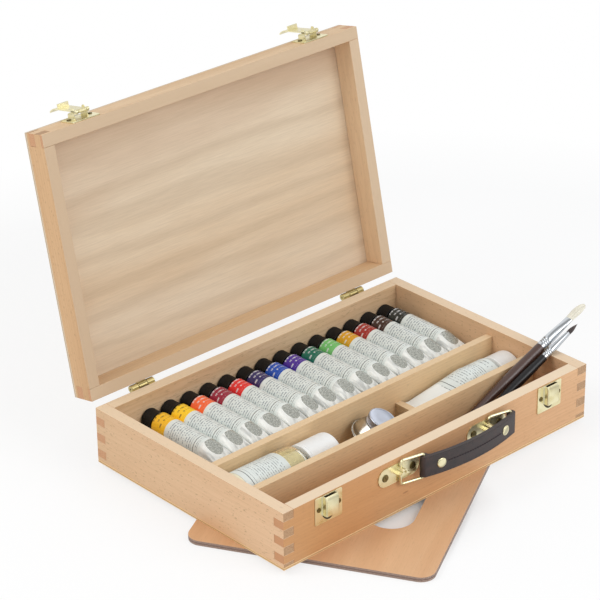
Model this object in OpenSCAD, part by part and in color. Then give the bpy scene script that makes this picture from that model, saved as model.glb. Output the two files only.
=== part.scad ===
// Wooden art supply box: a finger-jointed beech base and lid, filled with paint tubes,
// a bottle, a dipper and two brushes, standing on its own plywood palette.
// Millimetres. X runs along the front, Y from front to back, Z up.
// The origin lies under the middle of the box, on the surface that the palette lies on.

/* [Box] */
// Thickness of the walls
wall_t = 12.5; // [10:0.5:15]
// Thickness of the plywood floor and top panel
panel_t = 3; // [2.5:0.5:5]
// Height of the base's walls above its floor panel
base_wall_h = 56.5; // [54:0.5:75]
// Height of the lid's rails
lid_wall_h = 24; // [20:0.5:40]
// Height of one finger of the corner joints
finger_h = 8.8; // [6:0.2:14]
// Height of the lid's finger next to the rim, left over where the box was sawn apart
lid_first_finger = 3.3; // [2:0.1:6]
// How far the lid stands open
lid_open = 102; // [95:1:110]
// Gap between the rims when the lid is shut
rim_gap = 0.3; // [0.2:0.1:0.6]

/* [Compartments] */
// Thickness of the two long dividers
divider_t = 8; // [5:0.5:10]
// Height of the two long dividers above the floor
divider_h = 48; // [42:0.5:52]
// Front to back depth of the brush compartment
front_bay_d = 44.5; // [38:0.5:60]
// Room left around the contents of a compartment
bay_fit = 1.5; // [1:0.1:4]
// Thickness of the low cross partition
partition_t = 8; // [5:0.5:10]
// Height of the low cross partition
partition_h = 24.5; // [18:0.5:40]
// Flat ledge of the tray left of the tubes
left_ledge = 28.8; // [26:0.2:60]
// Flat ledge of the tray right of the tubes
right_ledge = 7.4; // [4:0.2:40]

/* [Paint tubes] */
// Number of paint tubes
tube_n = 14; // [14:1:16]
// Diameter of a paint tube
tube_d = 23.4; // [20:0.2:23.6]
// Distance from one tube to the next
tube_pitch = 24.2; // [24:0.1:26]
// Length of a paint tube with its cap
tube_len = 123.6; // [110:0.2:150]
// Diameter of a tube's cap
cap_d = 20; // [16:0.5:22]
// Length of a tube's cap
cap_len = 14.5; // [10:0.5:20]
// Length over which a tube flattens towards its crimp
wedge_len = 21.5; // [15:0.5:30]
// Length of the folded crimp
crimp_len = 15.5; // [8:0.5:20]
// Thickness of the folded crimp
crimp_t = 1.6; // [1:0.1:3]
// Height of the tube tray above the floor
tray_h = 26; // [22:0.5:30]
// Thickness of the tray's plastic
tray_t = 0.8; // [0.6:0.1:1.5]
// How far a tube's axis lies above the tray's top
tube_rise = 4.5; // [3.5:0.1:7]

/* [Large contents] */
// Diameter of the bottle
bottle_d = 47; // [44:0.5:50]
// Length of the bottle's glass body
bottle_body_len = 84; // [70:0.5:100]
// Wall of the bottle
bottle_wall = 2; // [1.5:0.1:3]
// Diameter of the bottle's cap
bottle_cap_d = 42.4; // [36:0.2:43]
// Length of the bottle's cap
bottle_cap_len = 37; // [25:0.5:40]
// Diameter of the large white tube
big_tube_d = 42; // [36:0.5:45]
// Length of the large white tube with its cap
big_tube_len = 127; // [115:0.5:135]
// Diameter of the large tube's cap
big_cap_d = 40; // [30:0.5:42]
// Length of the large tube's cap
big_cap_len = 24; // [16:0.5:30]
// Radius of the dipper's foot
dipper_foot_r = 23.5; // [18:0.5:24]
// Height of the dipper's cup up to its lid
dipper_h = 16; // [12:0.5:20]
// Radius of the dipper's lid
dipper_lid_r = 14; // [11:0.2:16]
// Height of the dipper's lid
dipper_lid_h = 8; // [6:0.5:10]
// How far the dipper leans forward on its clip
dipper_lean = 24.3; // [15:0.1:30]
// How far the dipper is turned about the vertical
dipper_turn = 25.4; // [0:0.1:40]

/* [Brushes] */
// How far the brushes lean up from the floor
brush_lean = 22; // [20:0.5:24]
// Length of the flat brush's handle
flat_handle_len = 158; // [130:1:159]
// Length of the flat brush's ferrule
flat_ferrule_len = 44; // [30:1:45]
// Length of the flat brush's bristles
flat_bristle_len = 24; // [15:1:25]
// Length of the round brush's handle
round_handle_len = 146; // [120:1:150]
// Length of the round brush's ferrule
round_ferrule_len = 38; // [25:1:45]
// Length of the round brush's bristles
round_bristle_len = 14; // [10:1:25]
// Thickest radius of the flat brush's handle
flat_handle_r = 5.5; // [4:0.1:6]
// Thickest radius of the round brush's handle
round_handle_r = 4.7; // [3.5:0.1:5.5]

/* [Palette] */
// Length of the palette
palette_l = 368; // [330:1:380]
// Width of the palette
palette_w = 233; // [200:1:240]
// Thickness of the palette
palette_t = 5; // [3:0.5:8]
// How far the palette lies turned under the box
palette_turn = 29.5; // [25:0.5:35]
// Length of the palette's thumb hole
thumb_l = 85; // [60:1:100]
// Width of the palette's thumb hole
thumb_w = 44.6; // [30:0.2:50]

/* [Brass hardware] */
// Width of a hinge
hinge_w = 28; // [20:1:40]
// Outer radius of a hinge's knuckles
knuckle_r = 3.6; // [3:0.1:3.7]
// Distance of the hinge pins behind the box
hinge_off = 4; // [3.9:0.1:5]
// Distance of each hinge from the middle
hinge_x = 140; // [100:1:160]
// Distance of each latch from the middle
latch_x = 146; // [120:1:165]
// Width of a latch plate
latch_w = 33; // [30:0.5:40]
// Width of a latch's raised block
block_w = 16; // [14:0.5:18]
// How far the raised block stands out
block_d = 7; // [5:0.5:9]
// Thickness of the latches' sheet brass
sheet_t = 1.2; // [1:0.1:1.5]
// Height of the base keeper's plate
keeper_h = 28; // [26:0.5:32]
// Height of the keeper's raised block
keeper_block_h = 19.5; // [15:0.5:22]
// Height of the lid latch's plate
latch_plate_h = 19; // [17:0.5:19.5]
// Distance of the hasp's pin from the lid's rim
pin_rise = 7; // [6.5:0.1:8]
// How far the hasps are flipped back
hasp_open = 180; // [150:1:180]

/* [Carrying handle] */
// Distance of each handle plate from the middle
handle_x = 58; // [50:1:70]
// Height of the handle's middle above the floor panel
handle_z = 41.5; // [38:0.5:44]
// Length of a handle plate
plate_l = 52; // [48:1:60]
// Height of a handle plate
plate_h = 19; // [16:0.5:20]
// Thickness of the rings' wire
wire_d = 2.8; // [2.2:0.1:3.2]
// Reach of a ring from its bar to its outer bar
ring_reach = 25.6; // [24:0.2:30]
// Height of a ring between the middles of its arms
ring_h = 25; // [23:0.5:28]
// How far the rings stand out from the front
ring_angle = 12.6; // [11:0.1:20]
// Height of the leather strap
strap_h = 21.5; // [18:0.5:21.5]
// Thickness of the leather strap
strap_t = 3.6; // [3:0.1:4.5]
// How far the strap bows outwards
strap_bow = 7.5; // [4:0.5:14]

/* [Hidden] */
$fn = 64;

// Clearances
pin_fit = 0.05;      // radial, a pin or a screw in its hole
slide_fit = 0.4;     // a piece that lifts straight out of its place
touch_gap = 0.3;     // between soft or curved pieces that rest on each other
rest_gap = 0.05;     // between a hard piece and what it rests on

// Overall sizes worked out from the contents
inner_w = tube_n * tube_pitch + left_ledge + right_ledge;
box_w = inner_w + 2 * wall_t;
rear_bay_d = tube_len + 2 * slide_fit + 4.6;
mid_bay_d = bottle_d + bay_fit;
box_d = 2 * wall_t + rear_bay_d + mid_bay_d + front_bay_d + 2 * divider_t;
x_in = inner_w / 2;
x_out = box_w / 2;
y_out = box_d / 2;
y_in = y_out - wall_t;

// Levels
base_z = palette_t;
floor_z = base_z + panel_t;
rim_z = floor_z + base_wall_h;
lid_z = rim_z + rim_gap;
lid_top_z = lid_z + lid_wall_h;

// Dividers, from the rear face of each to the back
rear_div_y = y_in - rear_bay_d - divider_t;
front_div_y = rear_div_y - mid_bay_d - divider_t;
mid_y = rear_div_y - mid_bay_d / 2;

// Hinge axis
hinge_y = y_out + hinge_off;
hinge_z = rim_z + rim_gap / 2;
leaf_t = 1;
leaf_h = 17;
pin_r = 1.5;
knuckle_gap = 0.3;
mid_knuckle_w = hinge_w * 0.38;

// Screws
screw_r = 1.25;
screw_head_r = 2.4;
screw_head_h = 0.9;
screw_l = 9;
hinge_screw_x = hinge_w / 2 - 6;
hinge_screw_z = 11;
latch_screw_x = (latch_w + block_w) / 4;
handle_screw_x = plate_l / 2 - 8.5;

// Latches: the keeper on the base, the plate and hasp on the lid
keeper_top = rim_z - 1;
keeper_block_z = keeper_top - keeper_block_h;
keeper_screw_z = keeper_top - 12.5;
latch_plate_z = lid_z + 1.5;
pin_z = lid_z + pin_rise;
hasp_pin_r = 0.8;
barrel_r = 1.9;
pin_out = block_d + 1.2;
hasp_barrel_w = 9.4;
latch_block_h = 12;
latch_screw_z = pin_z + 5.5;
claw_fit = 0.3;
claw_drop = pin_z - keeper_block_z + claw_fit;
claw_reach = 5;
tab_start = 4;
tab_r = 14;
tab_angle = 45;
hasp_w = block_w - 2;

// Handle
handle_mid_z = floor_z + handle_z;
handle_screw_head_r = 3.8;
wire_r = wire_d / 2;
bar_out = 3.3;
plate_t = sheet_t;
bridge_r = wire_r + 1.5;
loop_r = wire_r + 2.8;
loose_fit = 0.3;
ring_tip_x = ring_reach * cos(ring_angle);
ring_tip_out = bar_out + ring_reach * sin(ring_angle);
strap_chord = 2 * handle_x;
strap_arc_r = (pow(strap_chord / 2, 2) + pow(strap_bow, 2)) / (2 * strap_bow);
strap_mid_out = ring_tip_out + loop_r - strap_t / 2;
rivet_in = 15.5;
rivet_r = 5;
rivet_h = 1.2;
rivet_shank_r = 1.5;

// Tubes and tray
tube_r = tube_d / 2;
trough_r = tube_r + touch_gap;
tray_z = floor_z + tray_h;
tube_z = tray_z + tube_rise;
tray_y0 = rear_div_y + divider_t + slide_fit;
tray_d = rear_bay_d - 2 * slide_fit;
tube_back_y = y_in - slide_fit - 0.2;
tube_x0 = -x_in + left_ledge + tube_pitch / 2;
crimp_w = tube_pitch - 1.6;
shoulder_len = 3;
neck_r = 4.5;
neck_len = 11;
tube_colours = ["gold", "yellow", "orangered", "crimson", "red", "midnightblue", "mediumblue",
    "indigo", "seagreen", "limegreen", "darkgoldenrod", "brown", "saddlebrown", "dimgray"];

// Bottle, lying along X against the left wall
bottle_r = bottle_d / 2;
bottle_x = -x_in + 1;
bottle_z = floor_z + bottle_r + touch_gap;
bottle_shoulder = 5;
bottle_neck_r = 15;
bottle_neck_len = 30;
bottle_len = bottle_body_len + bottle_shoulder + 1 + bottle_cap_len;

// Large tube, lying along X against the right wall
big_r = big_tube_d / 2;
big_z = floor_z + big_r + touch_gap;
big_back_x = x_in - 1.2;
big_x = big_back_x - big_tube_len;
big_crimp_w = big_tube_d;
big_crimp_len = 7;
big_wedge_len = 60;
big_crimp_t = 2;
big_shoulder = 5;
big_neck_r = 8;
big_neck_len = 14;
partition_x = big_x - slide_fit - partition_t;

// Dipper, standing on the tip of its spring clip, its foot against the rear divider
dipper_wall = 1;
dipper_neck_r = dipper_lid_r - 1.2;
dipper_reach = dipper_foot_r * sqrt(1 - pow(sin(dipper_lean) * cos(dipper_turn), 2));
dipper_x = partition_x - 51.3;
dipper_y = rear_div_y - touch_gap - dipper_reach;
clip_w = 16;
clip_t = 1.2;
clip_web_y = 14;
clip_web_h = 7;
jaw_y = 14;
jaw_drop = 12.8;
dipper_z = floor_z + rest_gap + jaw_y * sin(dipper_lean) + jaw_drop * cos(dipper_lean);

// Brushes
flat_y = front_div_y - front_bay_d / 4 + 1.8;
round_y = flat_y - flat_handle_r - round_handle_r - 0.5;
handle_end_r = 2.2;
flat_neck_r = flat_handle_r - 0.3;
round_neck_r = round_handle_r - 0.7;
brush_z = floor_z + handle_end_r + rest_gap;
brush_rise = (rim_z - brush_z) * cos(brush_lean);
bristle_w = 10;
bristle_t = 4;
flat_mouth_r = bristle_w / 2 - 0.6;
round_bristle_r = 2.3;
// The round brush rests on its ferrule, which is a cone
round_taper = (round_neck_r - 0.1 - round_bristle_r) / round_ferrule_len;
round_rim_len = (rim_z - brush_z) / sin(brush_lean) - round_handle_len;
round_rest_r = (round_neck_r - 0.1 - round_taper * round_rim_len)
    / (1 + round_taper / tan(brush_lean));

// Palette
palette_x = -12;
palette_y = -39.7;
palette_r = 14;
thumb_x = -71.6;
thumb_y = -53.3;

// Palettes, plates and panels: a rectangle with round corners, centred
module round_rect(w, h, r) {
    square([w - 2 * r, h], center = true);
    square([w, h - 2 * r], center = true);
    for (sx = [-1, 1], sy = [-1, 1])
        translate([sx * (w / 2 - r), sy * (h / 2 - r)]) circle(r);
}

// Turns a closed lid piece to where the lid stands open
module on_lid() {
    translate([0, hinge_y, hinge_z])
        rotate([-lid_open, 0, 0])
            translate([0, -hinge_y, -hinge_z]) children();
}

// Puts a flat shape on the front of the box, facing forwards, at width x and height z
module on_front(x, z, t) {
    translate([x, -y_out, z]) rotate([90, 0, 0]) linear_extrude(t) children();
}

// ---- Walls ----

// Where finger i starts, measured from the rim, when the first finger is f high
function finger_at(i, f) = i == 0 ? 0 : f + (i - 1) * finger_h;

// Fingers that one wall gives up to its neighbour, cut from the end of a wall h high.
// The rim is at z = 0 and the wall runs downwards. Only every second finger is cut.
module finger_slots(h, first, start, w) {
    n = ceil((h - first) / finger_h) + 1;
    for (i = [start : 2 : n - 1])
        if (finger_at(i, first) < h)
            let (top = finger_at(i, first), bottom = min(h + 1, finger_at(i + 1, first)))
                translate([-w, -w, -bottom])
                    cube([2 * w, 2 * w, bottom - top + (i == 0 ? 1 : 0)]);
}

// Wall that runs front to back, its outer face at x = side * x_out, its rim at z = 0
module side_wall(side, h, first, start) {
    difference() {
        translate([side > 0 ? x_in : -x_out, -y_out, -h]) cube([wall_t, box_d, h]);
        for (sy = [-1, 1])
            translate([side * x_out, sy * y_out, 0]) finger_slots(h, first, start, wall_t);
    }
}

// Wall that runs left to right, its outer face at y = side * y_out, its rim at z = 0
module long_wall(side, h, first, start) {
    difference() {
        translate([-x_out, side > 0 ? y_in : -y_out, -h]) cube([box_w, wall_t, h]);
        for (sx = [-1, 1])
            translate([sx * x_out, side * y_out, 0]) finger_slots(h, first, start, wall_t);
    }
}

module base_side(side) {
    color("burlywood") translate([0, 0, rim_z]) side_wall(side, base_wall_h, finger_h, 1);
}

module base_front_wall() {
    color("tan") difference() {
        translate([0, 0, rim_z]) long_wall(-1, base_wall_h, finger_h, 0);
        front_screws(screw_r + pin_fit);
    }
}

module base_back_wall() {
    color("tan") difference() {
        translate([0, 0, rim_z]) long_wall(1, base_wall_h, finger_h, 0);
        base_hinge_screws(screw_r + pin_fit);
    }
}

// A lid wall has its rim below, so the finger pattern is mirrored
module lid_wall_place() {
    on_lid() translate([0, 0, lid_z]) mirror([0, 0, 1]) children();
}

module lid_side(side) {
    color("burlywood") lid_wall_place() side_wall(side, lid_wall_h, lid_first_finger, 0);
}

module lid_front_rail() {
    color("tan") difference() {
        lid_wall_place() long_wall(-1, lid_wall_h, lid_first_finger, 1);
        on_lid() latch_screws(screw_r + pin_fit);
    }
}

module lid_back_rail() {
    color("tan") difference() {
        lid_wall_place() long_wall(1, lid_wall_h, lid_first_finger, 1);
        on_lid() lid_hinge_screws(screw_r + pin_fit);
    }
}

module base_floor() {
    color("wheat") translate([-x_out, -y_out, base_z]) cube([box_w, box_d, panel_t]);
}

module lid_panel() {
    color("wheat") on_lid() translate([-x_out, -y_out, lid_top_z]) cube([box_w, box_d, panel_t]);
}

module divider(y) {
    color("peru") translate([-x_in, y, floor_z]) cube([inner_w, divider_t, divider_h]);
}

module cross_partition() {
    color("peru") translate([partition_x, rear_div_y - mid_bay_d, floor_z])
        cube([partition_t, mid_bay_d, partition_h]);
}

// ---- Tray: thin plastic with one trough for each tube, on skirts that reach the floor ----

module trough_row(r) {
    for (i = [0 : tube_n - 1])
        translate([tube_x0 + i * tube_pitch, tube_rise]) circle(r);
}

// Section of the tray's top, its upper surface at y = 0
module tray_section() {
    difference() {
        union() {
            translate([-x_in + slide_fit, -tray_t]) square([inner_w - 2 * slide_fit, tray_t]);
            intersection() {
                trough_row(trough_r + tray_t);
                translate([-x_in, -tube_d]) square([inner_w, tube_d]);
            }
        }
        trough_row(trough_r);
    }
}

// Section of the skirt across one end of the tray
module skirt_section() {
    difference() {
        translate([-x_in + slide_fit, -tray_h]) square([inner_w - 2 * slide_fit, tray_h]);
        trough_row(trough_r);
    }
}

module tube_tray() {
    color("whitesmoke") translate([0, tray_y0 + tray_d, tray_z]) rotate([90, 0, 0]) {
        linear_extrude(tray_d) tray_section();
        linear_extrude(tray_t) skirt_section();
        translate([0, 0, tray_d - tray_t]) linear_extrude(tray_t) skirt_section();
        for (side = [-1, 1])
            translate([side > 0 ? x_in - slide_fit - tray_t : -x_in + slide_fit, -tray_h, 0])
                cube([tray_t, tray_h, tray_d]);
    }
}

// ---- Screws ----

// Screw that goes in along +Y. With hole_r it is only the hole for its shank.
module screw(plate, hole_r, head_r = screw_head_r) {
    if (hole_r > 0)
        rotate([-90, 0, 0]) translate([0, 0, -0.5]) cylinder(r = hole_r, h = screw_l + 1);
    else
        rotate([-90, 0, 0]) {
            cylinder(r = screw_r, h = screw_l);
            translate([0, 0, -plate - screw_head_h]) cylinder(r = head_r, h = screw_head_h);
            translate([0, 0, -plate - 0.1]) cylinder(r = screw_r, h = plate + 0.2);
        }
}

module keeper_screws(hole_r = 0) {
    for (sx = [-1, 1], dx = [-1, 1])
        translate([sx * latch_x + dx * latch_screw_x, -y_out, keeper_screw_z])
            screw(sheet_t, hole_r);
}

module handle_screws(hole_r = 0) {
    for (sx = [-1, 1], dx = [-1, 1])
        translate([sx * handle_x + dx * handle_screw_x, -y_out, handle_mid_z])
            screw(plate_t, hole_r, handle_screw_head_r);
}

module front_screws(hole_r = 0) {
    keeper_screws(hole_r);
    handle_screws(hole_r);
}

module base_hinge_screws(hole_r = 0) {
    for (sx = [-1, 1], dx = [-1, 1])
        translate([sx * hinge_x + dx * hinge_screw_x, y_out, hinge_z - hinge_screw_z])
            mirror([0, 1, 0]) screw(leaf_t, hole_r);
}

module lid_hinge_screws(hole_r = 0) {
    for (sx = [-1, 1], dx = [-1, 1])
        translate([sx * hinge_x + dx * hinge_screw_x, y_out, hinge_z + hinge_screw_z])
            mirror([0, 1, 0]) screw(leaf_t, hole_r);
}

module latch_screws(hole_r = 0) {
    for (sx = [-1, 1], dx = [-1, 1])
        translate([sx * latch_x + dx * latch_screw_x, -y_out, latch_screw_z])
            screw(sheet_t, hole_r);
}

module base_screws() {
    color("goldenrod") {
        front_screws();
        base_hinge_screws();
    }
}

module lid_screws() {
    color("goldenrod") on_lid() {
        latch_screws();
        lid_hinge_screws();
    }
}

// ---- Hinges ----

// One leaf with its knuckles, lying below the axis (up = -1) or above it (up = 1).
// The lid's leaf carries the middle knuckle and the base's leaf the two outer ones.
module hinge_leaf(up) {
    middle = up > 0;
    outer_w = (hinge_w - mid_knuckle_w) / 2 - knuckle_gap;
    relief = knuckle_r + slide_fit;
    difference() {
        union() {
            translate([-hinge_w / 2, -hinge_off, up > 0 ? 0 : -leaf_h])
                cube([hinge_w, leaf_t, leaf_h]);
            if (middle)
                translate([-mid_knuckle_w / 2, 0, 0]) rotate([0, 90, 0])
                    cylinder(r = knuckle_r, h = mid_knuckle_w);
            else
                for (sx = [-1, 1])
                    translate([sx > 0 ? hinge_w / 2 - outer_w : -hinge_w / 2, 0, 0])
                        rotate([0, 90, 0]) cylinder(r = knuckle_r, h = outer_w);
        }
        // Relief where the other leaf's knuckles turn
        if (middle)
            for (sx = [-1, 1])
                translate([sx > 0 ? mid_knuckle_w / 2 : -hinge_w / 2 - 1, -hinge_off - 1, -relief])
                    cube([(hinge_w - mid_knuckle_w) / 2 + 1, hinge_off + relief, 2 * relief]);
        else
            translate([-mid_knuckle_w / 2 - knuckle_gap, -hinge_off - 1, -relief])
                cube([mid_knuckle_w + 2 * knuckle_gap, hinge_off + relief, 2 * relief]);
        translate([-hinge_w, 0, 0]) rotate([0, 90, 0])
            cylinder(r = pin_r + pin_fit, h = 2 * hinge_w);
        for (sx = [-1, 1])
            translate([sx * hinge_screw_x, -hinge_off - 1, up * hinge_screw_z])
                rotate([-90, 0, 0]) cylinder(r = screw_r + pin_fit, h = leaf_t + 2);
    }
}

module base_hinge_leaves() {
    color("gold") for (sx = [-1, 1])
        translate([sx * hinge_x, hinge_y, hinge_z]) hinge_leaf(-1);
}

module lid_hinge_leaves() {
    color("gold") on_lid() for (sx = [-1, 1])
        translate([sx * hinge_x, hinge_y, hinge_z]) hinge_leaf(1);
}

module hinge_pins() {
    color("darkgoldenrod") for (sx = [-1, 1])
        translate([sx * hinge_x - hinge_w / 2, hinge_y, hinge_z])
            rotate([0, 90, 0]) cylinder(r = pin_r, h = hinge_w);
}

// ---- Latches ----

// Raised strap of sheet brass, open above and below, standing on y = 0 towards -Y
module raised_block(h) {
    linear_extrude(h) difference() {
        translate([0, -block_d / 2]) round_rect(block_w, block_d, 1.6);
        translate([0, -block_d / 2 + sheet_t / 2])
            round_rect(block_w - 2 * sheet_t, block_d - sheet_t, 0.8);
    }
}

module latch_screw_holes(z) {
    for (dx = [-1, 1])
        translate([dx * latch_screw_x, 1, z]) rotate([90, 0, 0])
            cylinder(r = screw_r + pin_fit, h = 2 + sheet_t);
}

module catch_keepers() {
    color("gold") for (sx = [-1, 1])
        translate([sx * latch_x, -y_out, 0]) {
            difference() {
                translate([0, 0, keeper_top - keeper_h / 2]) rotate([90, 0, 0])
                    linear_extrude(sheet_t) round_rect(latch_w, keeper_h, 1.5);
                latch_screw_holes(keeper_screw_z);
            }
            translate([0, 0, keeper_block_z]) raised_block(keeper_block_h);
        }
}

// Plate, block and two ears that hold the hasp's pin, in the closed lid's frame
module latch_plate() {
    ear_w = (block_w - hasp_barrel_w) / 2 - 0.3;
    block_z = pin_z + barrel_r + 0.4;
    difference() {
        translate([0, 0, latch_plate_z + latch_plate_h / 2]) rotate([90, 0, 0])
            linear_extrude(sheet_t) round_rect(latch_w, latch_plate_h, 1.5);
        latch_screw_holes(latch_screw_z);
    }
    translate([0, 0, block_z]) raised_block(latch_block_h - barrel_r);
    for (sx = [-1, 1])
        translate([sx > 0 ? block_w / 2 - ear_w : -block_w / 2, 0, 0]) difference() {
            union() {
                translate([0, -pin_out, pin_z]) rotate([0, 90, 0]) cylinder(r = barrel_r, h = ear_w);
                translate([0, -block_d, pin_z - 1]) cube([ear_w, sheet_t, block_z - pin_z + 1.5]);
            }
            translate([-1, -pin_out, pin_z]) rotate([0, 90, 0])
                cylinder(r = hasp_pin_r + pin_fit, h = ear_w + 2);
        }
}

module latch_plates() {
    color("gold") on_lid() for (sx = [-1, 1])
        translate([sx * latch_x, -y_out, 0]) latch_plate();
}

module latch_pins() {
    color("darkgoldenrod") on_lid() for (sx = [-1, 1])
        translate([sx * latch_x - block_w / 2, -y_out - pin_out, pin_z])
            rotate([0, 90, 0]) cylinder(r = hasp_pin_r, h = block_w);
}

// Section of the hasp as it hangs shut: x points out of the front, y up, the pin at 0, 0
module hasp_section() {
    arm_l = claw_drop + tab_start;
    difference() {
        union() {
            circle(barrel_r);
            translate([-sheet_t / 2, -arm_l]) square([sheet_t, arm_l]);
            translate([-claw_reach, -claw_drop - sheet_t]) square([claw_reach, sheet_t]);
        }
        circle(hasp_pin_r + pin_fit);
    }
    // Thumb tab, curving outwards
    translate([tab_r, -arm_l]) intersection() {
        difference() {
            circle(tab_r + sheet_t / 2);
            circle(tab_r - sheet_t / 2);
        }
        polygon([[0, 0], [-2 * tab_r, 0],
            [-2 * tab_r, -2 * tab_r * tan(tab_angle)]]);
    }
}

module hasp(side) {
    color("gold") on_lid() translate([side * latch_x, -y_out - pin_out, pin_z])
        rotate([-hasp_open, 0, 0]) {
            intersection() {
                rotate([90, 0, -90]) translate([0, 0, -hasp_w / 2])
                    linear_extrude(hasp_w) hasp_section();
                // The barrel is narrower than the arm, so that it turns between the ears
                union() {
                    translate([-hasp_barrel_w / 2, -50, -50]) cube([hasp_barrel_w, 100, 100]);
                    translate([-hasp_w / 2, -50, -100 - barrel_r - 0.4]) cube([hasp_w, 100, 100]);
                }
            }
        }
}

// ---- Handle ----

module handle_plate(side) {
    color("gold") translate([side * handle_x, -y_out, handle_mid_z]) difference() {
        union() {
            rotate([90, 0, 0]) linear_extrude(plate_t) {
                square([plate_l - plate_h, plate_h], center = true);
                for (sx = [-1, 1])
                    translate([sx * (plate_l - plate_h) / 2, 0]) circle(d = plate_h);
            }
            translate([0, -bar_out, -plate_h / 2]) cylinder(r = bridge_r, h = plate_h);
            translate([-bridge_r, -bar_out, -plate_h / 2])
                cube([2 * bridge_r, bar_out - 0.1, plate_h]);
        }
        translate([0, -bar_out, -plate_h]) cylinder(r = wire_r + pin_fit, h = 2 * plate_h);
        for (sx = [-1, 1])
            translate([sx * handle_screw_x, 1, 0]) rotate([90, 0, 0])
                cylinder(r = screw_r + pin_fit, h = plate_t + 2);
    }
}

// Wire ring, its inner bar at the origin and its arms along X
module wire_ring() {
    for (x = [0, ring_reach]) {
        translate([x, 0, -ring_h / 2]) cylinder(r = wire_r, h = ring_h);
        for (z = [-1, 1]) translate([x, 0, z * ring_h / 2]) sphere(wire_r);
    }
    for (z = [-1, 1])
        translate([0, 0, z * ring_h / 2]) rotate([0, 90, 0]) cylinder(r = wire_r, h = ring_reach);
}

module handle_ring(side) {
    color("gold") translate([side * handle_x, -y_out - bar_out, handle_mid_z])
        rotate([0, 0, -ring_angle]) wire_ring();
}

// Plan of the strap: x along the front, y out of it, the left loop's bar at 0, 0
module strap_plan() {
    difference() {
        union() {
            for (x = [0, strap_chord]) translate([x, 0]) circle(loop_r);
            translate([strap_chord / 2, loop_r - strap_t / 2 + strap_bow - strap_arc_r])
                intersection() {
                    difference() {
                        circle(strap_arc_r + strap_t / 2, $fn = 180);
                        circle(strap_arc_r - strap_t / 2, $fn = 180);
                    }
                    translate([-strap_chord / 2, 0]) square([strap_chord, 2 * strap_arc_r]);
                }
        }
        circle(wire_r + pin_fit);
        translate([strap_chord, 0]) circle(wire_r + loose_fit);
    }
}

// Stands at a rivet and looks out of the strap
module at_rivet(side) {
    reach = strap_chord / 2 - rivet_in;
    turn = side * asin(reach / strap_arc_r);
    translate([strap_chord / 2, 0, 0])
        translate([0, -(loop_r - strap_t / 2 + strap_bow - strap_arc_r), 0])
            rotate([0, 0, turn]) translate([0, -strap_arc_r, 0]) rotate([90, 0, 0]) children();
}

module strap_place() {
    translate([-handle_x + ring_tip_x, -y_out - ring_tip_out, handle_mid_z]) children();
}

module handle_strap() {
    color("saddlebrown") strap_place() difference() {
        translate([0, 0, -strap_h / 2]) linear_extrude(strap_h) mirror([0, 1]) strap_plan();
        for (side = [-1, 1]) at_rivet(side)
            cylinder(r = rivet_shank_r + pin_fit, h = 3 * strap_t, center = true);
    }
}

module strap_rivets() {
    color("gold") strap_place() for (side = [-1, 1]) at_rivet(side) {
        cylinder(r = rivet_shank_r, h = strap_t + 0.4, center = true);
        translate([0, 0, strap_t / 2 + 0.1]) cylinder(r = rivet_r, h = rivet_h);
        translate([0, 0, -strap_t / 2 - 0.1 - rivet_h / 2]) cylinder(r = rivet_r, h = rivet_h / 2);
    }
}

// ---- Contents ----

// Squeezable tube along +Z from its crimp at z = 0 to its cap, then the cap by itself
module tube_body(r, len, crimp_w, crimp_l, crimp_t, wedge_l, shoulder_l, neck_r, neck_l, cap_l) {
    body_z = crimp_l + wedge_l;
    shoulder_z = len - cap_l - shoulder_l - touch_gap;
    translate([-crimp_w / 2, -crimp_t / 2, 0]) cube([crimp_w, crimp_t, crimp_l + 0.5]);
    hull() {
        translate([-crimp_w / 2, -crimp_t / 2, crimp_l]) cube([crimp_w, crimp_t, 0.5]);
        translate([0, 0, body_z]) cylinder(r = r, h = 0.5, $fn = 32);
    }
    translate([0, 0, body_z]) cylinder(r = r, h = shoulder_z - body_z);
    translate([0, 0, shoulder_z]) cylinder(r1 = r, r2 = neck_r + 2, h = shoulder_l);
    translate([0, 0, shoulder_z + shoulder_l]) cylinder(r = neck_r, h = neck_l + touch_gap);
}

module tube_cap(r, len, neck_r, neck_l, cap_l) {
    translate([0, 0, len - cap_l]) difference() {
        cylinder(r = r, h = cap_l);
        translate([0, 0, -1]) cylinder(r = neck_r + 2 * pin_fit, h = neck_l + 1.5);
    }
}

module paint_tube(i) {
    translate([tube_x0 + i * tube_pitch, tube_back_y - tube_len, tube_z]) rotate([-90, 0, 0]) {
        color(tube_colours[min(i, len(tube_colours) - 1)])
            tube_body(tube_r, tube_len, crimp_w, crimp_len, crimp_t, wedge_len,
                shoulder_len, neck_r, neck_len, cap_len);
        color("black") tube_cap(cap_d / 2, tube_len, neck_r, neck_len, cap_len);
    }
}

module big_tube_place() {
    translate([big_x, mid_y, big_z]) rotate([0, 90, 0]) rotate([0, 0, 90]) children();
}

module white_tube() {
    color("white") big_tube_place()
        tube_body(big_r, big_tube_len, big_crimp_w, big_crimp_len, big_crimp_t, big_wedge_len,
            big_shoulder, big_neck_r, big_neck_len, big_cap_len);
}

module white_tube_cap() {
    color("snow") big_tube_place()
        tube_cap(big_cap_d / 2, big_tube_len, big_neck_r, big_neck_len, big_cap_len);
}

module bottle_place() {
    translate([bottle_x, mid_y, bottle_z]) rotate([0, 90, 0]) children();
}

// Outline of the bottle, or of its hollow when it is drawn in by w
module bottle_outline(w) {
    shoulder = bottle_body_len + bottle_shoulder;
    polygon([[0, w], [bottle_r - w, w], [bottle_r - w, bottle_body_len - w / 2],
        [bottle_neck_r - w, shoulder - w / 2], [bottle_neck_r - w, shoulder + bottle_neck_len],
        [0, shoulder + bottle_neck_len]]);
}

module bottle_glass() {
    color("khaki") bottle_place() rotate_extrude() difference() {
        bottle_outline(0);
        bottle_outline(bottle_wall);
    }
}

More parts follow.
